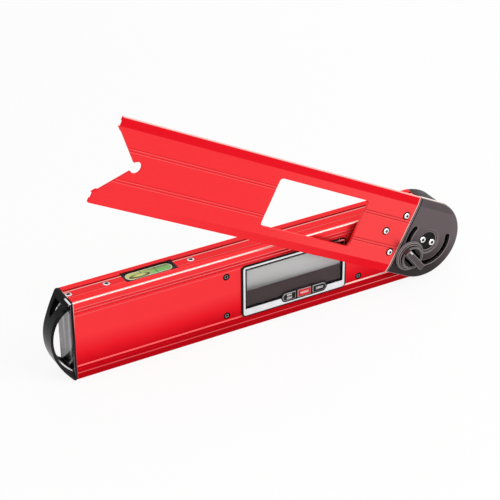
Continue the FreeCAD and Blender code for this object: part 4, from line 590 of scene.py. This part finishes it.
def metal(name, colour, roughness, stretch, tilt=0.0):
    """Drawn or turned metal with fine lines along its working direction."""
    finish = Finish(name, metallic=1.0)
    lines = finish.noise(finish.place(stretch, tilt), 1.0, 4.0)
    stain = finish.noise(finish.place(), 160.0, 2.0)
    finish.bump(lines, 0.02 * MM, 0.4)
    finish.lay(
        finish.between(shade(colour, 0.8), shade(colour, 1.08), stain),
        (roughness - 0.06) + 0.14 * lines)


def turned_head(name, places, stops, roughness, across=(1, 0, 1), glare=1.0):
    """A fastener's head: its tone changes in rings about each axis."""
    finish = Finish(name, metallic=1.0, specular_tint=(glare, glare, glare))
    where = finish.place()
    ring = finish.nearest(where, places, across)
    turned = finish.noise(where, 900.0, 2.0)
    finish.bump(turned, 0.02 * MM, 0.3)
    finish.lay(
        finish.ramp(finish.step(ring + 0.1 * MM * turned, 0.0, HEAD_SPAN), [
            (radius * MM / HEAD_SPAN, (tone, tone, tone)) for radius, tone in stops]),
        roughness + 0.12 * turned)


def window_glass():
    """Clear flat window, slightly smeared."""
    finish = Finish("window_clear", transmission_weight=1.0, ior=1.2, specular_ior_level=0.15)
    smear = finish.noise(finish.place(), 90.0, 2.0)
    finish.lay((0.97, 0.97, 0.98), 0.02 + 0.04 * smear)


def vial_body(look):
    """The block of the vial: tinted by its spirit, greener to one end, pale rim."""
    finish = Finish(
        "vial_body", specular_ior_level=0.5, ior=1.45, coat_weight=0.4, coat_roughness=0.04)
    where = finish.place(middle=VIAL_MIDDLE)
    x, y, _ = where.axes()
    drift = finish.noise(finish.place((70, 240, 240)), 1.0, 3.0)
    along = finish.step(x + (drift - 0.5) * 0.012, -VIAL_HALF.x, VIAL_HALF.x)
    tint = finish.ramp(along, [
        (0.0, look.spirit_pale), (0.4, look.spirit_colour), (0.7, look.spirit_green)])
    shadow = finish.band(y, 3.6 * MM, 0.4 * MM, 1.4 * MM) * finish.step(x, -6 * MM, 4 * MM)
    tint = finish.between(tint, look.spirit_brown, shadow * 0.8)
    round_end = VIAL_HALF.y - TUBE_INSET
    past = finish.maths(
        "MAXIMUM", abs(x) - (VIAL_HALF.x - 0.6 * MM - round_end), 0.0)
    side = y - TUBE_SHIFT
    out = finish.maths("SQRT", past * past + side * side)
    rim = finish.step(out, round_end - 1.0 * MM, round_end - 0.6 * MM)
    tint = finish.between(tint, look.spirit_rim, rim * 0.9)
    edge = finish.step(out, round_end - 0.1 * MM, round_end + 0.1 * MM)
    finish.lay(finish.between(tint, look.black_colour, edge), 0.08 + 0.08 * drift)


def bubble_film(look):
    """The bubble: pale in its middle, with a dark meniscus round it."""
    finish = Finish("vial_bubble", specular_ior_level=0.5, ior=1.4)
    where = finish.place(middle=BUBBLE_MIDDLE)
    x, y, _ = where.axes()
    slim = (x * (1 / BUBBLE_HALF.x), y * (1 / BUBBLE_HALF.y))
    drift = finish.noise(finish.place(), 500.0, 2.0)
    out = finish.maths("SQRT", slim[0] * slim[0] + slim[1] * slim[1]) + 0.25 * (drift - 0.5)
    finish.lay(
        finish.ramp(out, [
            (0.3, shade(look.spirit_pale, 1.1)), (0.55, look.spirit_colour),
            (0.72, look.spirit_brown), (1.0, shade(look.spirit_brown, 0.4))]),
        0.1 + 0.1 * drift)


def panel_grey(look):
    """The unlit liquid crystal: grey, with painted shade dark at its foot and darker to its left.
    """
    finish = Finish("panel_grey", ior=1.45, specular_ior_level=0.3)
    low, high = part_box("lcd_panel")
    size = high - low
    where = finish.place((1 / size.x, 1, 1 / size.z), middle=low)
    across, _, up = where.axes()
    cells = finish.noise(finish.place(), 3000.0, 1.0)
    slope = (1.0 - up) - across * 0.15 + 0.02 * cells
    tone = look.panel_colour
    grey = finish.ramp(slope, [
        (0.35, shade(tone, 1.15)), (0.6, tone), (0.74, shade(tone, 0.8)),
        (0.86, shade(tone, 0.45)), (0.98, shade(tone, 0.2))])
    finish.lay(
        finish.between(grey, look.black_colour, (1.0 - across) * 0.18),
        0.18 + 0.04 * cells)


def printed(name, colour, roughness):
    """Screen-printed ink, a little uneven."""
    finish = Finish(name, ior=1.45, specular_ior_level=0.3)
    ink = finish.noise(finish.place(), 900.0, 2.0)
    finish.lay(
        finish.between(shade(colour, 0.85), shade(colour, 1.1), ink),
        (roughness - 0.05) + 0.1 * ink)


def laminate():
    """Circuit board: green mask over a faint grid of tracks."""
    finish = Finish("board_green")
    tracks = finish.node("ShaderNodeTexBrick", {"offset": 0.35}, {
        "Vector": finish.place(), "Scale": 240.0, "Mortar Size": 0.03,
        "Color1": (0.02, 0.14, 0.05, 1), "Color2": (0.025, 0.17, 0.06, 1),
        "Mortar": (0.06, 0.3, 0.12, 1)})
    wave = finish.noise(finish.place(), 300.0)
    finish.lay(tracks, 0.3 + 0.15 * wave)


def build_finishes(look):
    """Makes every material of the object."""
    tilt = look.arm_angle
    black = tuple(look.black_colour)
    rail_coat(look)
    sawn_end(look)
    arm_coat(look)
    cap_gloss(look)
    cap_panel(look)
    moulded("bezel_gloss", black, 0.2, 900.0, 0.02)
    # Edge finishes: painted highlights on the rounded edges of the bezel, cover, knob and keys.
    moulded("bezel_edge", (0.06, 0.055, 0.06), 0.2, 900.0, 0.02, 0.3)
    cover_grain(look)
    moulded("cover_worn_edge", look.cover_highlight, 0.3, 1500.0, 0.02)
    moulded("end_grain", look.end_colour, 0.5, 1500.0, 0.1, 0.05)
    knob_grain(look)
    moulded("knob_worn_edge", look.knob_highlight, 0.3, 1800.0, 0.02)
    moulded("inner_black", black, 0.5, 900.0, 0.04, 0.15)
    moulded("soft_rubber", (0.025, 0.025, 0.026), 0.7, 1400.0, 0.08)
    moulded("key_dark", look.key_colour, 0.4, 1600.0, 0.04)
    moulded("key_red", look.key_red_colour, 0.4, 1600.0, 0.04)
    moulded("key_worn_edge", look.key_highlight, 0.3, 1600.0, 0.02)
    metal("trim_silver", (0.86, 0.87, 0.89), 0.26, (30, 1600, 1600))
    metal("plate_black_oxide", (0.03, 0.03, 0.031), 0.45, (40, 1500, 1500), tilt)
    turned_head("top_screw_black", middles("top_screws"), PALE_HEAD, 0.3, (1, 1, 0))
    turned_head("front_screw_black", middles("front_screws"), DARK_HEAD, 0.3, glare=0.1)
    metal("screw_black", (0.035, 0.034, 0.036), 0.34, (900, 900, 900))
    metal("screw_bright", (0.86, 0.86, 0.87), 0.2, (900, 900, 900))
    turned_head("pivot_screw_bright", middles("pivot_screws"), PIVOT_HEAD, 0.16)
    turned_head("rivet_bright", middles("arm_rivets"), RIVET_HEAD, 0.2)
    metal("bearing_bronze", (0.58, 0.4, 0.2), 0.32, (900, 40, 900))
    metal("insert_brass", (0.76, 0.58, 0.25), 0.25, (900, 40, 900))
    metal("spring_nickel", (0.7, 0.69, 0.66), 0.25, (900, 900, 900))
    printed("cell_sleeve", (0.08, 0.08, 0.09), 0.35)
    printed("ribbon_amber", (0.5, 0.22, 0.03), 0.35)
    laminate()
    window_glass()
    vial_body(look)
    printed("vial_spirit", look.spirit_colour, 0.2)
    bubble_film(look)
    printed("vial_ring_ink", (0.03, 0.035, 0.01), 0.4)
    panel_grey(look)
    printed("panel_line", (0.3, 0.29, 0.3), 0.3)
    printed("window_mask", look.mask_colour, 0.25)
    printed("key_ink", (0.95, 0.95, 0.95), 0.5)


# ---- piece helpers


def soften(target, width, segments, clamp):
    """Rounds the sharp edges of a piece and shades it smooth between them."""
    mesh = target.data
    mesh.shade_smooth()
    mesh.set_sharp_from_angle(angle=SHARP_ANGLE)
    uses = Counter(loop.edge_index for loop in mesh.loops)
    for edge in mesh.edges:
        if uses[edge.index] == 1:
            edge.use_edge_sharp = True
    if width:
        weld = target.modifiers.new("joined_faces", "WELD")
        weld.merge_threshold = WELD_GAP
        bevel = target.modifiers.new("edge_round", "BEVEL")
        bevel.width = width
        bevel.segments = segments
        bevel.limit_method = "ANGLE"
        bevel.angle_limit = SHARP_ANGLE
        bevel.harden_normals = True
        bevel.loop_slide = False
        bevel.miter_outer = "MITER_ARC"
        bevel.use_clamp_overlap = clamp


def dress(finish, names, width=0.15, segments=2, edge=None, clamp=True):
    """Gives nodes of the frame a finish and rounded edges, their width in millimetres.

    The edges have a finish of their own where one is named; these edge finishes are painted
    highlights.
    """
    for name in names:
        target = frame["nodes"][name]
        target.data.materials.clear()
        target.data.materials.append(FINISHES[finish])
        soften(target, width * MM, segments, clamp)
        if edge:
            target.data.materials.append(FINISHES[edge])
            target.modifiers["edge_round"].material = 1


def add_piece(name, mesh, finish, body):
    """A new object of the dressing that rides on a body."""
    target = bpy.data.objects.new(name, mesh)
    bpy.context.scene.collection.objects.link(target)
    mesh.materials.append(FINISHES[finish])
    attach(target, body)
    return target


def mesh_from(name, fill, *measures):
    """A mesh made by a function that fills a bmesh to measures."""
    shape = bmesh.new()
    fill(shape, *measures)
    bmesh.ops.recalc_face_normals(shape, faces=shape.faces)
    mesh = bpy.data.meshes.new(name)
    shape.to_mesh(mesh)
    shape.free()
    return mesh


def prism(shape, points, depth):
    """Adds a closed outline of points and its copy moved by depth, with walls."""
    near = [shape.verts.new(point) for point in points]
    far = [shape.verts.new(Vector(point) + Vector(depth)) for point in points]
    shape.faces.new(near)
    shape.faces.new(far[::-1])
    for index, vert in enumerate(near):
        after = (index + 1) % len(near)
        shape.faces.new((vert, far[index], far[after], near[after]))


def oblong(x0, z0, x1, z1):
    """Corners of an oblong with sharp corners, anticlockwise."""
    return [(x0, z0), (x1, z0), (x1, z1), (x0, z1)]


def rounded_box(x0, z0, x1, z1, radius):
    """Outline of an oblong with round corners, anticlockwise."""
    points = []
    for number, (x, z) in enumerate((
            (x1 - radius, z0 + radius), (x1 - radius, z1 - radius),
            (x0 + radius, z1 - radius), (x0 + radius, z0 + radius))):
        for step in range(CORNER_STEPS + 1):
            angle = math.radians(-90 + 90 * number + 90 * step / CORNER_STEPS)
            points.append((x + radius * math.cos(angle), z + radius * math.sin(angle)))
    return points


def frame_between(shape, outer, inner, place, depth):
    """Adds a flat ring between two outlines of as many points, with its walls."""
    loops = []
    for outline, back in ((outer, 0), (inner, 0), (inner, 1), (outer, 1)):
        loops.append([
            shape.verts.new(Vector(place(point)) + Vector(depth) * back) for point in outline])
    for first, second in zip(loops, loops[1:] + loops[:1]):
        for index in range(len(outer)):
            after = (index + 1) % len(outer)
            shape.faces.new((first[index], first[after], second[after], second[index]))


def dome(shape, place, half):
    """Adds a low oval dome that stands on its flat side."""
    around, up = DOME_STEPS
    rings = []
    for level in range(up):
        angle = math.radians(90 * level / up)
        rings.append([shape.verts.new(place + Vector((
            half.x * math.cos(angle) * math.cos(2 * math.pi * step / around),
            half.y * math.cos(angle) * math.sin(2 * math.pi * step / around),
            half.z * math.sin(angle)))) for step in range(around)])
    crown = shape.verts.new(place + Vector((0, 0, half.z)))
    shape.faces.new(rings[0][::-1])
    for low, high in zip(rings, rings[1:]):
        for step in range(around):
            after = (step + 1) % around
            shape.faces.new((low[step], low[after], high[after], high[step]))
    for step in range(around):
        shape.faces.new((rings[-1][step], rings[-1][(step + 1) % around], crown))


def add_fixed(name, finish, slot, fill, *measures):
    """A new piece of the rail, made by a function that fills a bmesh to measures."""
    return add_piece(name, mesh_from(name, fill, *measures), finish, RAIL)


def add_words(name, words, size, place, body):
    """Raised print facing the front, in the plain built-in letters."""
    line = bpy.data.curves.new(name, "FONT")
    line.body = words
    line.size = size
    line.align_x = "CENTER"
    line.align_y = "CENTER"
    line.space_character = 1.05
    line.offset = size * 0.02
    line.extrude = PRINT_DEPTH
    line.resolution_u = 3
    holder = bpy.data.objects.new(name, line)
    bpy.context.scene.collection.objects.link(holder)
    mesh = bpy.data.meshes.new_from_object(holder)
    bpy.data.objects.remove(holder)
    mesh.transform(Matrix.Translation(place) @ Matrix.Rotation(math.radians(90), 4, "X"))
    return add_piece(name, mesh, "key_ink", body)


# ---- sizes and colours


def paint(name, description, default):
    """A colour that a user may change."""
    return FloatVectorProperty(
        name=name, description=description, subtype="COLOR", default=default)


def angle(name, description, degrees):
    """An angle that a user may change."""
    return FloatProperty(
        name=name, description=description, subtype="ANGLE", default=math.radians(degrees))


def amount(name, description, default):
    """A plain number that a user may change."""
    return FloatProperty(name=name, description=description, default=default)


def length(name, description, millimetres):
    """A size that a user may change."""
    return FloatProperty(
        name=name, description=description, unit="LENGTH", precision=5,
        default=millimetres * MM)


class FinderLook(bpy.types.PropertyGroup):
    """Colours and the arm's angle of the dressed angle finder."""

    arm_angle: angle("Arm angle", "Opening of the arm as the frame has it", 27.5)
    rail_colour: paint("Rail", "Coating of the rail", (0.97, 0.042, 0.05))
    # Painted shade: the middle and low rail tones darken the coating towards its foot; the low
    # tone also darkens the painted grooves, lips and rivet rings.
    rail_half_shade: paint("Rail, middle", "Coating a third of the way up", (0.86, 0.010, 0.021))
    rail_shade: paint("Rail, low", "Coating near the foot of the rail", (0.6, 0.001, 0.008))
    arm_colour: paint("Arm", "Coating of the arm", (0.97, 0.039, 0.047))
    arm_near: paint("Arm, near", "Coating of the arm beside the cover", (0.98, 0.066, 0.07))
    # Painted shade: the darker tone of the arm's sloped edges.
    arm_slope_shade: paint("Arm slopes", "Coating of the arm on its sloped edges", (0.84, 0.007, 0.017))
    # Painted highlight: the pale colour of the bright lines on edges, the rail's end, the arm and
    # the cover.
    highlight_colour: paint("Bare edge", "Coating worn thin on sharp edges", (1.0, 0.8, 0.74))
    # Painted highlight: the colour of the light lines along the fine ridges.
    ridge_highlight_colour: paint("Ridges", "Coating on the fine ridges", (0.97, 0.26, 0.26))
    black_colour: paint("Black", "Black mouldings", (0.004, 0.004, 0.0045))
    # Painted reflection: the greyer tone of the cap's lower half.
    cap_low_reflection: paint("Cap, low", "Lower half of the end cap", (0.022, 0.02, 0.021))
    # Painted highlight: the pale colour on the cap's rims.
    cap_rim_highlight: paint("Cap edges", "Rubbed edges of the end cap", (0.55, 0.53, 0.55))
    # Painted reflection: the streaks on the cap's flat end.
    panel_reflection: paint("Cap end", "Streaks on the polished end of the cap", (0.24, 0.215, 0.24))
    cover_colour: paint("Cover", "Hinge cover", (0.125, 0.1, 0.107))
    # Painted shade: the darker tone of the cover low down.
    cover_shade: paint("Cover, low", "Lower part of the hinge cover", (0.03, 0.023, 0.023))
    # Painted highlight on the cover's rounded edges.
    cover_highlight: paint("Cover edge", "Worn edge of the hinge cover", (0.24, 0.2, 0.205))
    end_colour: paint("Hinge end", "Rounded end of the rail", (0.022, 0.017, 0.018))
    knob_colour: paint("Knob", "Clamp knob", (0.05, 0.042, 0.044))
    knob_bar: paint("Knob bar", "Face of the knob's grip bar", (0.085, 0.07, 0.075))
    # Painted highlight on the knob's rounded edges.
    knob_highlight: paint("Knob edge", "Worn edge of the knob", (0.26, 0.235, 0.24))
    key_colour: paint("Dark keys", "Outer keys", (0.012, 0.01, 0.011))
    key_red_colour: paint("Red key", "Middle key", (0.62, 0.02, 0.02))
    # Painted highlight on the keys' rounded edges.
    key_highlight: paint("Key edge", "Worn edge of the keys", (0.42, 0.4, 0.41))
    panel_colour: paint("Display", "Unlit liquid crystal", (0.62, 0.615, 0.60))
    mask_colour: paint("Mask", "Dark print of the window", (0.034, 0.010, 0.011))
    spirit_colour: paint("Spirit", "Fluid of the vial", (0.42, 0.54, 0.10))
    spirit_pale: paint("Spirit, pale", "Thin end of the fluid", (0.60, 0.66, 0.20))
    spirit_green: paint("Spirit, green", "Deep end of the fluid", (0.17, 0.50, 0.10))
    spirit_brown: paint("Spirit, brown", "Shaded fluid", (0.17, 0.12, 0.04))
    spirit_rim: paint("Vial rim", "Pale rim of the vial", (0.74, 0.78, 0.52))


class FinderSizes(bpy.types.PropertyGroup):
    """Sizes of the print and of the thin pieces that the dressing adds."""

    # The rim at the rail's end carries a painted highlight, pale at its top.
    sawn_rim: length("Sawn rim", "Width of the bare rim at the rail's end", 0.35)
    # The cap panel is a sheet that carries painted reflections on the cap's flat end.
    panel_half: length("Cap panel", "Half the width of the cap's polished end", 11.8)
    panel_foot: length("Cap panel, foot", "Height of its lower edge", 9.5)
    panel_head: length("Cap panel, head", "Height of its upper edge", 60.5)
    panel_corner: length("Cap panel, corners", "Radius of its corners", 1.5)
    mask_side: length("Mask, sides", "Width of the window's dark print at its sides", 1.2)
    mask_head: length("Mask, head", "Height of the dark print above the display", 1.7)
    mask_lap: length("Mask, foot", "How far the dark print laps over the display", 1.1)
    mask_line: length("Display line", "Width of the thin line round the display", 0.3)
    letter_height: length("Letters", "Size of the letters on the keys", 2.7)
    letter_step: length("Lines of letters", "From one line of letters to the next", 3.0)
    reading_offset: length("Reading lines", "From the vial's middle to each line", 6.2)
    reading_half: length("Reading lines, width", "Half the width of each line", 0.25)


class FinderStage(bpy.types.PropertyGroup):
    """Camera and lights."""

    focal_length: amount("Focal length", "Camera lens, in millimetres", 121.84)
    azimuth: angle("Azimuth", "Camera turn about the vertical", 29.07)
    elevation: angle("Elevation", "Camera height above the horizon", 30.34)
    roll: angle("Roll", "Camera turn about its own axis", -0.38)
    place: FloatVectorProperty(
        name="Place", description="Camera position", unit="LENGTH",
        default=(-0.57149, -1.02927, 0.75235))
    strip_power: amount("Edge light", "Power of the narrow light above the front edge", 9.5)
    top_power: amount("Top light", "Power of the large light above", 3.2)
    front_power: amount("Front light", "Power of the soft light from the front", 3.7)
    rim_power: amount("Rim light", "Power of the light behind, to the right", 5.3)
    world_level: amount("Surround", "Level of the pale surround on the object", 0.66)


# ---- operators


class FINDER_OT_rail(bpy.types.Operator):
    """Coat the rail, finish its fixed mouldings and lay a rim with a painted highlight on its
    sawn end
    """

    bl_idname = "finder.rail"
    bl_label = "Rail"

    def execute(self, context):
        dress("rail_red", ["body_rail"], 0.2)
        dress("end_grain", ["hinge_end", "rear_cover"], 0.3, 3)
        dress("top_screw_black", ["top_screws"], 0.1)
        dress("front_screw_black", ["front_screws"], 0.1)
        dress("screw_black", [
            "hinge_end_screws", "rear_cover_screws", "battery_door_screw"], 0.1)
        dress("inner_black", ["battery_door", "battery_tray", "vial_holder"], 0.2)
        wide = context.scene.finder_sizes.sawn_rim
        low, high = RAIL_LOW, RAIL_HIGH
        outer = rounded_box(low.y - SAWN_PROUD, 0.0, high.y, high.z, RAIL_CORNER)
        inner = rounded_box(
            low.y + wide, wide, high.y - wide, high.z - wide, RAIL_CORNER * 0.8)
        add_fixed(
            "rail_sawn_end", "rail_sawn_end", "red_body", frame_between,
            outer, inner, lambda point: (low.x, *point), (SAWN_DEPTH, 0, 0))
        return {"FINISHED"}


class FINDER_OT_end_cap(bpy.types.Operator):
    """Finish the end cap with its hang loop, and lay a sheet with painted reflections on its flat
    end
    """

    bl_idname = "finder.end_cap"
    bl_label = "End cap"

    def execute(self, context):
        dress("cap_gloss", ["hang_loop_cap"], 0.3, 3)
        sizes = context.scene.finder_sizes
        outline = rounded_box(
            -sizes.panel_half, sizes.panel_foot, sizes.panel_half, sizes.panel_head,
            sizes.panel_corner)
        face = RAIL_LOW.x - CAP_PLATE
        add_fixed(
            "cap_end_panel", "cap_panel", "gloss_black", prism,
            [(face, *point) for point in outline], (-PANEL_THICK, 0, 0))
        return {"FINISHED"}


class FINDER_OT_inner_parts(bpy.types.Operator):
    """Finish the parts that are closed inside the rail and the hinge"""

    bl_idname = "finder.inner_parts"
    bl_label = "Inner parts"

    def execute(self, context):
        dress("bearing_bronze", ["pivot_bush"])
        dress("soft_rubber", ["friction_washer", "clamp_pad", "contact_strips", "key_domes"])
        dress("spring_nickel", ["battery_contacts", "spring_washer", "retaining_ring"])
        dress("board_green", ["encoder_board", "encoder_rotor", "main_board"])
        dress("ribbon_amber", ["sensor_ribbon"])
        dress("inner_black", ["display_chassis"])
        dress("cell_sleeve", ["battery_cell_upper", "battery_cell_lower"])
        dress("screw_bright", ["pivot_hub", "clamp_bolt"])
        return {"FINISHED"}


class FINDER_OT_arm(bpy.types.Operator):
    """Coat the arm and finish its plate, rivets and cover"""

    bl_idname = "finder.arm"
    bl_label = "Arm"

    def execute(self, context):
        dress("arm_red", ["arm_blade"], 0.18)
        dress("plate_black_oxide", ["hinge_plate"], 0.1)
        dress("rivet_bright", ["arm_rivets"], 0.15, 3)
        dress("cover_grain", ["hinge_cover"], 0.6, 3, "cover_worn_edge", clamp=False)
        dress("inner_black", ["pivot_retainer"], 0.1)
        dress("pivot_screw_bright", ["pivot_screws"], 0.25, 3)
        return {"FINISHED"}


class FINDER_OT_knob(bpy.types.Operator):
    """Finish the clamp knob"""

    bl_idname = "finder.knob"
    bl_label = "Clamp knob"

    def execute(self, context):
        dress("knob_grain", ["clamp_knob"], 0.45, 3, "knob_worn_edge", clamp=False)
        dress("insert_brass", ["knob_insert"])
        return {"FINISHED"}


class FINDER_OT_display(bpy.types.Operator):
    """Finish the display and add the dark print and the thin line behind its window"""

    bl_idname = "finder.display"
    bl_label = "Display"

    def execute(self, context):
        dress("bezel_gloss", ["display_bezel"], 0.2, 3, "bezel_edge")
        dress("trim_silver", ["display_trim"], 0.2, 3)
        dress("window_clear", ["display_window"], 0.08)
        dress("panel_grey", ["lcd_panel"], 0)
        sizes = context.scene.finder_sizes
        low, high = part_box("display_window")
        left, right = low.x + sizes.mask_side, high.x - sizes.mask_side
        foot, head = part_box("lcd_panel")[0].z + sizes.mask_lap, high.z - sizes.mask_head
        line = sizes.mask_line
        outer = oblong(low.x, low.z, high.x, high.z)
        inner = oblong(left, foot, right, head)
        clear = oblong(left + line, foot + line, right - line, head - line)

        def behind_window(point):
            return (point[0], high.y + MASK_GAP, point[1])

        add_fixed(
            "window_mask", "window_mask", "gloss_black", frame_between,
            outer, inner, behind_window, (0, MASK_THICK, 0))
        add_fixed(
            "display_line", "panel_line", "gloss_black", frame_between,
            inner, clear, behind_window, (0, LINE_THICK, 0))
        return {"FINISHED"}


class FINDER_OT_keys(bpy.types.Operator):
    """Finish the three keys and print their words"""

    bl_idname = "finder.keys"
    bl_label = "Keys"

    def execute(self, context):
        dress("key_dark", ["button_left", "button_right"], 0.5, 3, "key_worn_edge", clamp=False)
        dress("key_red", ["button_middle"], 0.4, 3, "key_worn_edge", clamp=False)
        sizes = context.scene.finder_sizes
        for key, lines in KEY_WORDS.items():
            low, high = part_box(f"button_{key}")
            middle = (low + high) / 2
            for number, words in enumerate(lines):
                rise = ((len(lines) - 1) * 0.5 - number) * sizes.letter_step
                place = Vector((middle.x, low.y - PRINT_DEPTH * 0.5, middle.z + rise))
                add_words(f"{key}_key_word_{number + 1}", words, sizes.letter_height, place,
                          f"button_{key}_key")
        return {"FINISHED"}


class FINDER_OT_vial(bpy.types.Operator):
    """Finish the level vial, with its bubble and reading lines"""

    bl_idname = "finder.vial"
    bl_label = "Vial"

    def execute(self, context):
        dress("vial_body", ["vial_tube"], 0.4, 3)
        dress("vial_spirit", ["vial_fluid"], 0)
        sizes = context.scene.finder_sizes
        top = VIAL_HIGH.z
        place = Vector((BUBBLE_MIDDLE.x, BUBBLE_MIDDLE.y, top - LINE_THICK))
        bubble = add_fixed("vial_bubble", "vial_bubble", "spirit", dome, place, BUBBLE_HALF)
        bubble.data.shade_smooth()
        half, wide = VIAL_HALF.y - TUBE_INSET - 0.7 * MM, sizes.reading_half
        middle = VIAL_MIDDLE.y + TUBE_SHIFT
        for number, side in enumerate((-1, 1)):
            x = VIAL_MIDDLE.x + sizes.reading_offset * side
            outline = oblong(x - wide, middle - half, x + wide, middle + half)
            add_fixed(
                f"vial_reading_line_{number + 1}", "vial_ring_ink", "spirit", prism,
                [(*corner, top) for corner in outline], (0, 0, LINE_THICK))
        return {"FINISHED"}


class FINDER_OT_stage(bpy.types.Operator):
    """Lay the pale floor, hang the lights and place the camera"""

    bl_idname = "finder.stage"
    bl_label = "Stage"

    def execute(self, context):
        setup = context.scene.finder_stage
        lay_floor()
        light_world(setup.world_level)
        for name, place, size, power in LAMPS:
            add_light(name, place, size, getattr(setup, power))
        place_camera(setup)
        context.scene.view_settings.view_transform = "Standard"
        return {"FINISHED"}


def lay_floor():
    """A wide pale floor that shows white to the camera and keeps a soft shadow."""
    mesh = mesh_from("floor", lambda shape: bmesh.ops.create_grid(
        shape, x_segments=2, y_segments=2, size=FLOOR_HALF))
    floor = bpy.data.objects.new("floor", mesh)
    floor.location = (0, 0, -FLOOR_GAP)
    bpy.context.scene.collection.objects.link(floor)
    finish = Finish("floor_white", base_color=(0.9, 0.9, 0.9), roughness=0.9)
    glow = finish.node("ShaderNodeEmission", {}, {"Color": (1, 1, 1), "Strength": 1.0})
    finish.to_the_eye(Value(finish, finish.shader.outputs[0]), glow, FLOOR_GLOW)
    mesh.materials.append(finish.material)


def light_world(level):
    """Pale surround: full strength to the eye and in gloss, less on the object."""
    world = bpy.data.worlds.new("surround")
    bpy.context.scene.world = world
    nodes = Nodes(world, "ShaderNodeOutputWorld")
    dim, full = (
        nodes.node("ShaderNodeBackground", {}, {"Strength": strength})
        for strength in (level, 1.0))
    nodes.to_the_eye(dim, full, 1.0)


def add_light(name, place, size, power):
    """An oblong lamp with its long side level, aimed at the part."""
    light = bpy.data.lights.new(name, "AREA")
    light.shape = "RECTANGLE"
    light.size, light.size_y = size
    light.energy = power
    lamp = bpy.data.objects.new(name, light)
    bpy.context.scene.collection.objects.link(lamp)
    lamp.location = place
    aim = LAMP_AIM - Vector(place)
    lamp.rotation_euler = aim.to_track_quat("-Z", "Y").to_euler()


def place_camera(setup):
    """Adds the camera, turned by its azimuth, elevation and roll."""
    turn, rise, roll = setup.azimuth, setup.elevation, setup.roll
    back = Vector((
        -math.sin(turn) * math.cos(rise), -math.cos(turn) * math.cos(rise), math.sin(rise)))
    right = Vector((math.cos(turn), -math.sin(turn), 0))
    up = back.cross(right)
    across = right * math.cos(roll) + up * math.sin(roll)
    above = up * math.cos(roll) - right * math.sin(roll)
    lens = bpy.data.cameras.new("camera")
    lens.lens = setup.focal_length
    lens.sensor_width = 36.0
    lens.clip_start = 0.01
    lens.clip_end = 50.0
    camera = bpy.data.objects.new("camera", lens)
    bpy.context.scene.collection.objects.link(camera)
    axes = Matrix((across, above, back)).transposed().to_4x4()
    camera.matrix_world = Matrix.Translation(setup.place) @ axes
    bpy.context.scene.camera = camera


OPERATORS = (
    FINDER_OT_rail,
    FINDER_OT_end_cap,
    FINDER_OT_inner_parts,
    FINDER_OT_arm,
    FINDER_OT_knob,
    FINDER_OT_display,
    FINDER_OT_keys,
    FINDER_OT_vial,
    FINDER_OT_stage,
)


class FINDER_PT_panel(bpy.types.Panel):
    """Lists the pieces of the angle finder"""

    bl_idname = "FINDER_PT_panel"
    bl_label = "Angle Finder"
    bl_space_type = "VIEW_3D"
    bl_region_type = "UI"
    bl_category = "Angle Finder"

    def draw(self, context):
        for name, group in GROUPS.items():
            for word in group.__annotations__:
                self.layout.prop(getattr(context.scene, name), word)
        for operator in OPERATORS:
            self.layout.operator(operator.bl_idname)


GROUPS = {
    "finder_look": FinderLook, "finder_sizes": FinderSizes, "finder_stage": FinderStage}
CLASSES = (*GROUPS.values(), *OPERATORS, FINDER_PT_panel)


def register():
    for entry in CLASSES:
        bpy.utils.register_class(entry)
    for name, group in GROUPS.items():
        setattr(bpy.types.Scene, name, PointerProperty(type=group))


def unregister():
    for name in GROUPS:
        delattr(bpy.types.Scene, name)
    for entry in reversed(CLASSES):
        bpy.utils.unregister_class(entry)


def main():
    """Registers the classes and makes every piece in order."""
    register()
    build_finishes(bpy.context.scene.finder_look)
    for operator in OPERATORS:
        group, word = operator.bl_idname.split(".")
        getattr(getattr(bpy.ops, group), word)()


if __name__ == "__main__":
    main()
